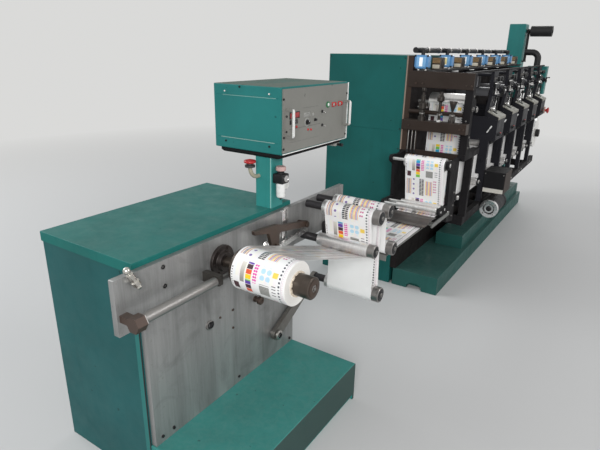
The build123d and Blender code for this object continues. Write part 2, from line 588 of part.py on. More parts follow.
# Delivery table and its bent cover
web_low = TABLE_IDLER[1] - TABLE_IDLER[2] - WEB_GAP - WEB_THICK
table_x0 = WEB_LEFT - TABLE_SIDE
table_x1 = WEB_RIGHT + TABLE_SIDE
table_top = web_low - WEB_GAP
table_low = table_top - TABLE_THICK
lip_y = TABLE_START_Y + TABLE_THICK
table = sheet_x([(TABLE_START_Y, table_top), (TABLE_START_Y, table_top - 26), (lip_y, table_top - 26),
                 (lip_y, table_low), (TABLE_END_Y, table_low), (TABLE_END_Y, table_top)], table_x0, table_x1)
stand_bracket = sheet_y([(PLATE_FACE_X, table_low - 6, 6), (PLATE_FACE_X, PLATE_BAR_LOW + 40),
                         (PLATE_FACE_X + 8, PLATE_BAR_LOW + 40), (PLATE_FACE_X + 8, table_low, 6),
                         (table_x0 + 25, table_low), (table_x0 + 25, table_low - 6)], TABLE_START_Y + 70,
                        TABLE_START_Y + 120)
press_bracket = sheet_x([(TABLE_END_Y - 60, table_low - 22, 8), (TABLE_END_Y - 60, table_low),
                         (OUTFEED_NEAR_Y + 50, table_low), (OUTFEED_NEAR_Y + 50, table_low - 22)],
                        OUTFEED_OUT_X, OUTFEED_OUT_X + 6)
press_bracket += block(table_x1 - 60, OUTFEED_OUT_X + 6, TABLE_END_Y - 60, TABLE_END_Y - 20, table_low - 6,
                       table_low)
parts["delivery_table"] = table + stand_bracket + press_bracket
bends = [(y, table_top + z) for y, z in COVER_BENDS]
upper = [(y, z + COVER_THICK) for y, z in bends]
cover = sheet_x(bends + upper[::-1], table_x0 - COVER_SIDE, table_x1 + COVER_SIDE)
cheek = bends + [(bends[-1][0], table_top), (bends[0][0], table_top)]
cover += sheet_x(cheek, table_x0, table_x0 + SHEET) + sheet_x(cheek, table_x1 - SHEET, table_x1)
parts["table_cover"] = cover

# Press base: plinth with an arched near face, bed, drive cabinet
plinth = block(PLINTH_LEFT_X, PLINTH_RIGHT_X, PRESS_Y, PRESS_END, 0, PLINTH_HEIGHT)
arch = sheet_y([(PLINTH_LEFT_X + 100, -1), (PLINTH_LEFT_X + 100, 22), (PLINTH_LEFT_X + 130, 42),
                (PLINTH_RIGHT_X - 130, 42), (PLINTH_RIGHT_X - 100, 22), (PLINTH_RIGHT_X - 100, -1)],
               PRESS_Y - 1, PRESS_Y + PLINTH_WALL_ARCH)
plinth = chamfer(plinth.edges().group_by(Axis.Z)[-1], 2) - arch
bed = block(BED_LEFT_X, BED_RIGHT_X, BED_START_Y, PRESS_END - 30, PLINTH_HEIGHT, BED_HEIGHT)
parts["plinth"] = plinth + chamfer(bed.edges().group_by(Axis.Z)[-1], 6)
drive_x0 = DRIVE_FACE_X - DRIVE_THICK
cabinet_x0 = drive_x0 - CABINET_WIDTH
cabinet_y1 = PRESS_Y + CABINET_DEPTH
cabinet = block(cabinet_x0, drive_x0, PRESS_Y, cabinet_y1, 0, CABINET_HEIGHT)
cabinet = chamfer(cabinet.edges().filter_by(Axis.Z), 3)
seam_z1 = CABINET_SEAM_Z + DOOR_SEAM
cabinet -= block(cabinet_x0 - 1, drive_x0 - 20, PRESS_Y - 1, PRESS_Y + 2, CABINET_SEAM_Z, seam_z1)
cabinet -= block(cabinet_x0 - 1, cabinet_x0 + 2, PRESS_Y - 1, cabinet_y1 + 1, CABINET_SEAM_Z, seam_z1)
door_y = (PRESS_Y + 40, cabinet_y1 - 40)
outer = block(cabinet_x0 - 1, cabinet_x0 + 2, *door_y, 60, CABINET_SEAM_Z - 40)
inner = block(cabinet_x0 - 2, cabinet_x0 + 3, door_y[0] + DOOR_SEAM, door_y[1] - DOOR_SEAM, 60 + DOOR_SEAM,
              CABINET_SEAM_Z - 40 - DOOR_SEAM)
cabinet -= outer - inner
for k in range(VENTS):
    z = 1120 + 22 * k
    cabinet -= block(cabinet_x0 - 1, cabinet_x0 + 6, PRESS_Y + 160, cabinet_y1 - 160, z, z + 8)
handle = block(cabinet_x0 - 14, cabinet_x0, door_y[1] - 60, door_y[1] - 36, 520, 620)
cabinet += fillet(handle.edges().group_by(Axis.X)[0], 4)
parts["drive_cabinet"] = cabinet

# Drive-side frame: one plate with a front post, a waist and a rounded upright at each station
outline = [(PRESS_Y, PLINTH_HEIGHT), (PRESS_Y, DRIVE_TOP), (PRESS_Y + 70, DRIVE_TOP, 12),
           (PRESS_Y + 90, DRIVE_WAIST, 30)]
for k in range(STATIONS):
    y = FIRST_STATION_Y + k * PITCH
    outline += [(y + 15, DRIVE_WAIST, 30), (y + 45, HEAD_TOP, 12), (y + 165, HEAD_TOP, 12),
                (y + 195, DRIVE_WAIST, 30)]
outline += [(PRESS_END, DRIVE_WAIST, 20), (PRESS_END, PLINTH_HEIGHT)]
drive = sheet_x(outline, drive_x0, DRIVE_FACE_X)
for k in range(STATIONS):
    y = FIRST_STATION_Y + k * PITCH
    drive -= sheet_x([(y + 50, 270, 20), (y + 210, 270, 20), (y + 210, 520, 20), (y + 50, 520, 20)],
                     drive_x0 - 1, DRIVE_FACE_X + 1)
parts["drive_frame"] = drive
gears = block(drive_x0 - 70, drive_x0, cabinet_y1 + 60, PRESS_END - 60, 560, 1040)
parts["gear_cover"] = fillet(gears.edges().group_by(Axis.X)[0] + gears.edges().filter_by(Axis.X), 14)

portal_x1 = OPERATOR_X + PORTAL_THICK
front_low = (TOP_ROLLER[0] - TOP_ROLLER[2] - LOW_IDLER_R, LOW_IDLER_Z, LOW_IDLER_R)
front_rise = (TOP_ROLLER[0] + TOP_ROLLER[2] + LOW_IDLER_R, LOW_IDLER_Z, LOW_IDLER_R)

# Members across the delivery: top beam, crossbeam, shelf strip, rod and two thin stays
beam_x0 = DRIVE_FACE_X - 17
beam_top = RAIL_TOP - 2
beam_low = beam_top - BEAM_HEIGHT
beam = sheet_x([(PRESS_Y - 6, beam_low, 4), (PRESS_Y - 6, beam_top, 4), (PRESS_Y, beam_top),
                (PRESS_Y, beam_low)], beam_x0, portal_x1)
crossbeam_low = CROSSBEAM_TOP - CROSSBEAM_HEIGHT
crossbeam = sheet_x([(PRESS_Y - 56, crossbeam_low, 4), (PRESS_Y - 56, CROSSBEAM_TOP, 4),
                     (PRESS_Y, CROSSBEAM_TOP), (PRESS_Y, crossbeam_low - 2)], beam_x0, portal_x1)
strip = block(DRIVE_FACE_X, OPERATOR_X, PRESS_Y - 8, PRESS_Y, SHELF_LOW, SHELF_HIGH)
wire_stays = [rod_z(x, PRESS_Y - 6, 4, SHELF_HIGH - 20, crossbeam_low + 2) for x in (-162, -138)]
bar = rod_x(PRESS_Y - 2, BAR_Z, 12, DRIVE_FACE_X, OPERATOR_X)
lift = crossbeam + strip
for wire in wire_stays:
    lift += wire
parts["cross_beams"] = Compound([beam, lift, bar])
# Stepped, domed and waisted adjusters as (radius, height over the crossbeam) outlines
stepped = [(0, 0), (22, 0), (22, 24, 2), (15, 24), (15, 62), (24, 66, 3), (24, 98, 3), (12, 108), (12, 138),
           (7, 144), (7, 158), (13, 166, 5), (13, 182, 5), (0, 186)]
domed = [(0, 0), (8, 0), (8, 108), (20, 116, 4), (20, 136, 4), (11, 152, 3), (11, 164), (0, 166)]
waisted = [(0, 0), (19, 0), (19, 14, 2), (6, 50), (6, 62), (20, 108, 2), (20, 120, 3), (0, 122)]
parts["nip_adjusters"] = Compound([Pos(0, 0, CROSSBEAM_TOP) * turned_z(outline, x, PRESS_Y - 34)
                                   for x, outline in ((-106, stepped), (-4, domed), (68, waisted))])

# Outfeed plates with the lugs and arms that carry their rollers
plates = []
for x0, far_y in ((DRIVE_FACE_X - OUTFEED_THICK, PRESS_Y), (OUTFEED_OUT_X - OUTFEED_THICK, PRESS_Y - 8)):
    x1 = x0 + OUTFEED_THICK
    side = sheet_x([(OUTFEED_NEAR_Y, 884, 12), (OUTFEED_NEAR_Y + 110, 896, 6), (far_y, 896),
                    (far_y, HAND_OVER_Z - 120), (OUTFEED_NEAR_Y + 25, HAND_OVER_Z - 96, 12)], x0, x1)
    side += link(CREST_ROLLER[:2], 20, (OUTFEED_NEAR_Y + 40, CREST_ROLLER[1] - 20), 34, x0, x1)
    side += link(HOLD_ROLLER[:2], 17, (OUTFEED_NEAR_Y + 40, HAND_OVER_Z - 30), 36, x0, x1)
    plates.append(side)
parts["outfeed_plates"] = Compound(plates)
outfeed_in_x = OUTFEED_OUT_X - OUTFEED_THICK
parts["outfeed_rollers"] = Compound([spanning(roller, outfeed_in_x)
                                     for roller in (HOLD_ROLLER, TURN_ROLLER, CREST_ROLLER, RISE_ROLLER)])


class Station:
    """One print station: its rollers, and the solids that belong to it."""

    def __init__(self, number):
        self.y = FIRST_STATION_Y + number * PITCH
        first = self.y + STRAND_BACK
        self.impression = (first + IMPRESSION_R, CYL_Z, IMPRESSION_R)
        reach = IMPRESSION_R + PLATE_CYL_R + 2 * WEB_GAP + WEB_THICK + NIP_GAP
        self.plate_cylinder = (self.impression[0] + reach * sin(pi / 9), CYL_Z + reach * cos(pi / 9),
                               PLATE_CYL_R)
        reach = PLATE_CYL_R + ANILOX_R + NIP_GAP
        self.anilox = (self.plate_cylinder[0] + reach * sin(pi / 3),
                       self.plate_cylinder[1] + reach * cos(pi / 3), ANILOX_R)
        self.low = (first - LOW_IDLER_R, LOW_IDLER_Z, LOW_IDLER_R)
        self.rise = (first + 2 * IMPRESSION_R + LOW_IDLER_R, LOW_IDLER_Z, LOW_IDLER_R)

    def path(self):
        """The web's way through the station, from the unwind's side."""
        return [wrapped(self.rise, -1), wrapped(self.impression, 1), wrapped(self.low, -1)]

    def unit(self):
        """Operator's post with its ears and bearing arms, cover plate, housing and head."""
        y = self.y
        x0 = OPERATOR_X
        body = block(x0, x0 + RAIL_WIDTH, y, y + 36, RAIL_HIGH, HOUSING_LOW)
        body += block(FLANGE_X, x0, y, y + FLANGE_THICK, FLANGE_LOW, HOUSING_LOW)
        body += ears(self.low, self.rise)
        body += link((y + 18.0, CYL_Z), 26, self.impression[:2], 22, x0, x0 + 10)
        body += sheet_x([(y, 862), (y + 90, 862, 20), (y + 236, 892, 20), (y + 236, 985, 20),
                         (y + 200, HOUSING_HIGH), (y, HOUSING_HIGH)], x0, x0 + 16)
        body += block(DRIVE_FACE_X, x0, y, y + SHEET, HOUSING_LOW, HOUSING_HIGH)
        body += sheet_y([(x0, HOUSING_LOW), (HOUSING_OUT - HOUSING_CHAMFER, HOUSING_LOW),
                         (HOUSING_OUT, HOUSING_LOW + HOUSING_CHAMFER), (HOUSING_OUT, HOUSING_HIGH),
                         (x0, HOUSING_HIGH + HOUSING_RISE)], y, y + HOUSING_DEPTH)
        body += sheet_x([(y + 20, 1000), (y + 190, 1000), (y + 190, 1110, 20), (y + 150, 1180, 30),
                         (y + 165, HEAD_TOP, 10), (y + 45, HEAD_TOP, 10), (y + 60, 1180, 30),
                         (y + 20, 1110, 20)], x0 - HEAD_THICK, x0)
        for bar_y in (y + 60, y + 150):
            body += rod_x(bar_y, HEAD_TOP - 22, 9, DRIVE_FACE_X, x0 - HEAD_THICK)
        body += turned_x([(x0, 0), (x0, 7), (x0 + 30, 7), (x0 + 30, 15), (x0 + 34, 21), (x0 + 46, 21),
                          (x0 + 50, 17), (x0 + 50, 0)], y + STATION_MIDDLE, HEAD_TOP - 115)
        body += block(x0 - HEAD_THICK, x0 + SCREW_REACH, y + 62, y + 148, *SCREW_SHELF)
        return body

    def pressure_screws(self):
        """Pair of upright screws with knurled knobs on the shelf of the head."""
        foot = SCREW_SHELF[1]
        top = foot + SCREW_HEIGHT
        outline = [(0, foot), (9, foot), (9, foot + 7, 1), (5, foot + 9), (5, top - 30), (SCREW_R, top - 26, 2),
                   (SCREW_R, top - 4, 2), (0, top)]
        return [turned_z(outline, OPERATOR_X + SCREW_REACH / 2, self.y + STATION_MIDDLE + off)
                for off in (-SCREW_OFF_MIDDLE, SCREW_OFF_MIDDLE)]

    def lid(self):
        """Sloping sheet lid with a turned-down edge."""
        drop = HOUSING_RISE / (HOUSING_OUT - OPERATOR_X) * LID_SHEET
        out = HOUSING_OUT + LID_SHEET
        top = HOUSING_HIGH + HOUSING_RISE
        return sheet_y([(OPERATOR_X, top), (OPERATOR_X, top + LID_SHEET),
                        (out, HOUSING_HIGH - drop + LID_SHEET), (out, HOUSING_HIGH - 14),
                        (HOUSING_OUT, HOUSING_HIGH - 14), (HOUSING_OUT, HOUSING_HIGH)],
                       self.y + 2, self.y + HOUSING_DEPTH - 2)

    def ink_pan(self):
        """Trough under the anilox roller."""
        y = self.y
        return sheet_x([(y + 172, 905), (y + 172, 890, 8), (y + 255, 890, 14), (y + 255, 950), (y + 252, 950),
                        (y + 252, 893, 11), (y + 175, 893, 5), (y + 175, 905)], DRIVE_FACE_X, OPERATOR_X)

    def hood(self):
        """Half-round dryer hood with its duct stub and its arm."""
        lower = Pos(0, -HOOD_R) * Rectangle(3 * HOOD_R, 2 * HOOD_R)
        shell = Circle(HOOD_R) - Circle(HOOD_R - SHEET) - lower
        wall = Circle(HOOD_R) - lower
        x0 = WEB_LEFT - 14
        body = extrude(Plane.YZ * shell, amount=HOOD_WIDTH, dir=(1, 0, 0))
        body += extrude(Plane.YZ * wall, amount=SHEET, dir=(1, 0, 0))
        middle = self.y + STATION_MIDDLE
        body = Pos(x0, middle, HOOD_Z) * body
        body += rod_x(middle, HOOD_Z + 22, 12, DRIVE_FACE_X, x0)
        return body + rod_z(0, middle, 20, HOOD_Z + HOOD_R - 2, HEAD_TOP - 10)


def ears(first, second):
    """Thin plate on the operator's side with a hole for the journals of two low idlers."""
    low, high = LOW_IDLER_Z - 18, LOW_IDLER_Z + 18
    plate = sheet_x([(first[0] - 18, low, 14), (second[0] + 18, low, 14), (second[0] + 18, high, 14),
                     (first[0] - 18, high, 14)], OPERATOR_X, OPERATOR_X + EAR_THICK)
    for roller in (first, second):
        plate -= rod_x(roller[0], roller[1], JOURNAL_R + EAR_CLEAR, OPERATOR_X - 1, OPERATOR_X + EAR_THICK + 1)
    return plate


# Operator's side of the delivery: portal post on a shelf, set-back lower post with idler ears
portal = sheet_x([(PRESS_Y, SHELF_HIGH), (PRESS_Y, RAIL_TOP - 2), (PRESS_Y + POST_DEPTH, RAIL_TOP - 2, 6),
                  (PRESS_Y + POST_DEPTH, SHELF_HIGH + 60, 30), (PRESS_Y + 110, SHELF_HIGH)], OPERATOR_X,
                 portal_x1)
delivery = portal + block(OPERATOR_X, portal_x1, PRESS_Y - 8, 150, SHELF_LOW, SHELF_HIGH)
delivery += block(OPERATOR_X, portal_x1, 10, 46, RAIL_HIGH, SHELF_LOW)
delivery += ears(front_low, front_rise)
delivery += link((PRESS_Y + 24.0, TOP_ROLLER[1]), 22, TOP_ROLLER[:2], 30, OPERATOR_X, OPERATOR_X + 20)
parts["delivery_frame"] = delivery

stations = [Station(k) for k in range(STATIONS)]
idlers = [spanning(front_low, collar=True), spanning(front_rise, collar=True), spanning(TOP_ROLLER)]
cylinders = []
press_path = []
for station in stations:
    idlers += [spanning(station.low, collar=True), spanning(station.rise, collar=True)]
    cylinders += [spanning(r) for r in (station.impression, station.plate_cylinder, station.anilox)]
    press_path = station.path() + press_path
parts["press_idlers"] = Compound(idlers)
parts["print_cylinders"] = Compound(cylinders)
parts["print_units"] = Compound([station.unit() for station in stations])
parts["unit_lids"] = Compound([station.lid() for station in stations])
parts["pressure_screws"] = Compound([screw for station in stations for screw in station.pressure_screws()])
parts["ink_pans"] = Compound([station.ink_pan() for station in stations])
parts["dryer_hoods"] = Compound([station.hood() for station in stations])

# Lower rail on the operator's side with its ties to the drive side
rail_x = OPERATOR_X + RAIL_WIDTH
rail = sheet_y([(OPERATOR_X, RAIL_LOW), (rail_x, RAIL_LOW, 4), (rail_x, RAIL_HIGH), (OPERATOR_X, RAIL_HIGH)],
               4, PRESS_END)
for y in [10.0] + [station.y for station in stations]:
    rail += block(DRIVE_FACE_X, OPERATOR_X, y, y + 12, RAIL_LOW, RAIL_HIGH)
parts["side_rail"] = rail

# Feed motor with its bright end ring, and the control box above it
motor_y = FIRST_STATION_Y
motor_outline = [(12, 0), (12, 30), (0, 38), (0, MOTOR_R - 3), (3, MOTOR_R), (24, MOTOR_R), (26, MOTOR_R - 6),
                 (250, MOTOR_R - 6), (252, MOTOR_R - 2), (272, MOTOR_R - 2), (290, MOTOR_R - 24), (290, 0)]
motor = turned_y([(motor_y + y, r) for y, r in motor_outline], rail_x + MOTOR_R, MOTOR_Z)
motor += block(rail_x, rail_x + 24, motor_y + 60, motor_y + 200, MOTOR_Z - 18, MOTOR_Z + 40)
parts["feed_motor"] = motor
box = block(rail_x, rail_x + 140, motor_y, motor_y + 200, 573, 716)
box = fillet(box.edges().filter_by(Axis.Z), 5)
box -= block(rail_x + 8, rail_x + 132, motor_y - 1, motor_y + 2, 603, 606)
parts["motor_box"] = box

# Lamp boxes and fan boxes on the top rails, with the duct behind them
lamps = []
fans = []
lamp_low = RAIL_TOP + LAMP_LIFT
lamp_top = lamp_low + LAMP_HEIGHT
lamp_middle_x = (LAMP_X[0] + LAMP_X[1]) / 2
fan_middle_x = (FAN_X[0] + FAN_X[1]) / 2
duct_x, duct_z = lamp_middle_x - 40, lamp_top + 26
duct = rod_y(duct_x, duct_z, DUCT_R, PRESS_Y + 10, PRESS_Y + LAMPS * LAMP_PITCH - 200)
for k in range(LAMPS):
    y = PRESS_Y + 6 + k * LAMP_PITCH
    lamp = block(*LAMP_X, y, y + LAMP_DEPTH, lamp_low, lamp_top)
    lamp = fillet(lamp.edges().filter_by(Axis.Y), 12)
    lamp = chamfer(lamp.edges().group_by(Axis.Y)[0], 3)
    for foot_x in (LAMP_X[0] + 20, LAMP_X[1] - 20):
        lamp += rod_z(foot_x, y + LAMP_DEPTH / 2, 7, RAIL_TOP, lamp_low)
    lamps.append(lamp)
    fan_y = y + FAN_BEHIND
    fan = block(*FAN_X, fan_y, fan_y + FAN_DEPTH, RAIL_TOP, RAIL_TOP + FAN_HEIGHT)
    fan = fillet(fan.edges().filter_by(Axis.Z), 5)
    fan -= rod_y(fan_middle_x, RAIL_TOP + FAN_HEIGHT / 2, 23, fan_y - 1, fan_y + 6)
    fans.append(fan + rod_y(fan_middle_x, RAIL_TOP + FAN_HEIGHT / 2, 8, fan_y, fan_y + 7))
    branch_y = y + LAMP_DEPTH / 2
    duct += rod_x(branch_y, duct_z, BRANCH_R, duct_x, lamp_middle_x)
    duct += Pos(lamp_middle_x, branch_y, duct_z) * Sphere(BRANCH_R)
    duct += rod_z(lamp_middle_x, branch_y, BRANCH_R, lamp_top, duct_z)
parts["lamp_boxes"] = Compound(lamps)
parts["fan_boxes"] = Compound(fans)
left_rail = block(DRIVE_FACE_X - 27, -90, PRESS_Y + 100, PRESS_END, HEAD_TOP, RAIL_TOP)
left_rail += block(DRIVE_FACE_X, -90, PRESS_Y, PRESS_Y + 100, HEAD_TOP, RAIL_TOP)
right_rail = block(OPERATOR_X - HEAD_THICK, OPERATOR_X, PRESS_Y, PRESS_END, HEAD_TOP, RAIL_TOP)
parts["top_rails"] = Compound([left_rail, right_rail])

# Unwind post with its arms, top bar, guard box with a bent outlet, roll and far stop
post_x0, post_x1 = UNWIND_POST
unwind_post = block(post_x0, post_x1, UNWIND_Y, UNWIND_Y + 150, 0, UNWIND_POST_HEIGHT)
unwind_post = chamfer(unwind_post.edges().filter_by(Axis.Z) + unwind_post.edges().group_by(Axis.Z)[-1], 4)
foot = block(post_x0 - 30, post_x1 + 60, UNWIND_Y - 30, UNWIND_Y + 260, 0, 30)
parts["unwind_post"] = unwind_post + chamfer(foot.edges().group_by(Axis.Z)[-1], 6)
top_y, top_z, top_r = TOP_BAR
top_bar = turned_x([(post_x1, 0), (post_x1, 14), (-75, 14), (-75, top_r - 2), (-73, top_r), (113, top_r),
                    (115, top_r - 2), (115, 16), (120, 16), (120, 0)], top_y, top_z)
stay_foot = top_z - TOP_STAY
for y in (top_y - 30, top_y + 30):
    top_bar += rod_z(-94, y, 6, stay_foot, top_z + 20)
top_bar += block(-102, -86, top_y - 38, top_y + 38, top_z - 8, top_z + 8)
top_bar += block(post_x1, -86, top_y - 38, top_y + 38, stay_foot, stay_foot + 12)
unwind_shaft = turned_x([(post_x1, 0), (post_x1, UNWIND_CORE_R), (WEB_RIGHT + 30, UNWIND_CORE_R),
                         (WEB_RIGHT + 34, UNWIND_CORE_R - 4), (WEB_RIGHT + 34, 0)], *UNWIND_ROLL[:2])
parts["unwind_shafts"] = Compound([top_bar, unwind_shaft])
parts["unwind_roll"] = turned_x([(WEB_LEFT, UNWIND_CORE_R), (WEB_LEFT, UNWIND_ROLL[2]),
                                 (WEB_RIGHT, UNWIND_ROLL[2]), (WEB_RIGHT, UNWIND_CORE_R)], *UNWIND_ROLL[:2])
guard = block(-15, 155, PRESS_END - 100, PRESS_END, HOUSING_HIGH + HOUSING_RISE, HEAD_TOP)
parts["unwind_guard"] = fillet(guard.edges().filter_by(Axis.Z), 10)
outlet_x, outlet_y, bend = 55.0, PRESS_END - 50, 60.0
outlet = rod_z(outlet_x, outlet_y, OUTLET_R, HEAD_TOP, HEAD_TOP + bend)
outlet_top = HEAD_TOP + bend
outlet_plane = Plane((outlet_x, outlet_y, outlet_top), x_dir=(1, 0, 0), z_dir=(0, 0, 1))
outlet_axis = Axis((outlet_x - bend, outlet_y, outlet_top), (0, -1, 0))
outlet += revolve(outlet_plane * Circle(OUTLET_R), axis=outlet_axis, revolution_arc=90)
outlet += rod_x(outlet_y, outlet_top + bend, OUTLET_R, outlet_x - 2 * bend, outlet_x - bend)
parts["air_ducts"] = Compound([duct, outlet])
last = stations[-1].y
far = block(OPERATOR_X + 16, HOUSING_OUT + 8, last + HOUSING_DEPTH + 2, last + 236, 925, 985)
far = fillet(far.edges().filter_by(Axis.X), 5)
far += turned_x([(HOUSING_OUT + 8, 0), (HOUSING_OUT + 8, 10), (HOUSING_OUT + 14, 10), (HOUSING_OUT + 16, 16),
                 (HOUSING_OUT + 24, 15), (HOUSING_OUT + 28, 8), (HOUSING_OUT + 28, 0)], last + 219, 955)
parts["far_stop"] = far

# Webs
parts["delivery_web"] = web_strip([
    wrapped(TOP_ROLLER, 1), wrapped(front_low, -1), wrapped(RISE_ROLLER, -1), wrapped(CREST_ROLLER, 1),
    wrapped(TURN_ROLLER, -1), wrapped(TABLE_IDLER, -1), wrapped(BACK_IDLER, 1), wrapped(DANCER_ROLLER, -1),
    wrapped(FRONT_IDLER, 1), wrapped(BARE_ROLLER, -1),
    wrapped((SPINDLE_Y, SPINDLE_Z, ROLL_R), 1)])
parts["press_web"] = web_strip([wrapped(UNWIND_ROLL, -1)] + press_path + [
    wrapped(front_rise, -1), wrapped(TOP_ROLLER, 1)])

os.makedirs("parts", exist_ok=True)
for name, shape in parts.items():
    export_step(shape, f"parts/{name}.step")
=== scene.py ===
"""Looks of the flexographic label press: finishes for the CAD nodes, printed webs and small fittings.

Everything is in metres in the part's own frame: +X to the operator's side, +Y from the rewind stand
to the unwind, +Z up.
"""

import logging
from dataclasses import dataclass, field
from enum import Enum
from math import asin, atan2, ceil, cos, hypot, pi, radians, sin
from typing import Optional, Sequence, Union

import bpy
from mathutils import Matrix, Vector


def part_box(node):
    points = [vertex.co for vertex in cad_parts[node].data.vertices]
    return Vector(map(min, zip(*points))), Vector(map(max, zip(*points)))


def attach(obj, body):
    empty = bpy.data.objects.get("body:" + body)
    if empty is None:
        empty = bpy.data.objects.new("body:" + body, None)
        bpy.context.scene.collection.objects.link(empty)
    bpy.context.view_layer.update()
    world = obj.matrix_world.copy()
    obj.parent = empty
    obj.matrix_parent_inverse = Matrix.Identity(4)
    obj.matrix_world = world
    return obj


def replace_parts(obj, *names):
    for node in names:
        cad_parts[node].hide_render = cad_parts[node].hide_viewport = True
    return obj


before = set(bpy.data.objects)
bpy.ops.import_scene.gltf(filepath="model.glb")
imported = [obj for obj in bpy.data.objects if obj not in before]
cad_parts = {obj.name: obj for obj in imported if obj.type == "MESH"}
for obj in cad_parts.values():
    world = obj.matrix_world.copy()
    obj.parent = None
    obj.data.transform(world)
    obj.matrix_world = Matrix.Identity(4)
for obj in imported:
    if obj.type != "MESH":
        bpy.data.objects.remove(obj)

LOG = logging.getLogger("label_press")
Colour = tuple[float, float, float]
Point = tuple[float, float, float]
Spot = tuple[float, float]
Roller = tuple[float, float, float]
Wrap = tuple[float, float, float, int]
Outline = Sequence[Spot]
Corner = tuple[Optional[float], Optional[float], Optional[float]]
Value = Union[float, bpy.types.NodeSocket]

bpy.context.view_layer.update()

# Rollers and rolls, as the part's source has them: (y, z, radius), or (z, radius) where the place repeats.
TOP_ROLLER: Roller = (-0.005, 1.18, 0.055)
FRONT_IDLER: Roller = (-0.085, 0.64, 0.025)
RISE_ROLLER: Roller = (-0.278, 0.6, 0.022)
CREST_ROLLER: Roller = (-0.335, 0.88, 0.035)
TURN_ROLLER: Roller = (-0.344, 0.633, 0.022)
TABLE_IDLER: Roller = (-1.062, 0.638, 0.031)
SECOND_IDLER: Roller = (-1.132, 0.828, 0.031)
DANCER_ROLLER: Roller = (-1.176, 0.456, 0.034)
FIRST_IDLER: Roller = (-1.224, 0.823, 0.032)
BARE_ROLLER: Roller = (-1.26, 0.687, 0.028)
LABEL_ROLL: Roller = (-1.791, 0.749, 0.076)
UNWIND_ROLL: Roller = (2.57, 0.7, 0.14)
LOW_IDLER: Spot = (0.64, 0.025)
IMPRESSION: Spot = (0.79, 0.07)

# What repeats along the press
STATIONS = 5
STATION_PITCH = 0.42
FIRST_STRAND_Y = 0.42
LAMPS = 6
LAMP_PITCH = 0.43
LAMP_LOW: Point = (-0.196, -0.144, 1.37)
LAMP_HIGH: Point = (-0.114, -0.099, 1.444)

# Distances along the webs: where the painted reflection streaks on the delivery web start, over what
# length they fade in, and where the press web's print starts
REFLECTION_STREAKS_FROM = 3.66
REFLECTION_STREAK_FADE = 0.06
PRESS_PRINTED_FROM = 5.0

# The pattern of the printed stock is laid out in millimetres.
MM = 1000.0
SHEET_LENGTH = 236.0
ROLL_EDGE = 107.0  # from the middle plane to the edge of a roll's stock
ROLL_START = 1245.0  # the pattern's place on a roll's +Y side

SMOOTH_ANGLE = radians(35.0)  # faces that meet at less are shaded as one
FAR = 20.0  # past everything, for the open side of a zone
SUNK = 0.001  # how far a screw or a nut reaches into its seat


class Axis(Enum):
    """Axis that a fitting is turned about or a sheet is cut across."""

    X = 0
    Y = 1
    Z = 2


class PrintLay(Enum):
    """How printed stock finds the place of its pattern."""

    STRIP = "strip"
    ROLL = "roll"


# ---------------------------------------------------------------------------------------------
# Finishes


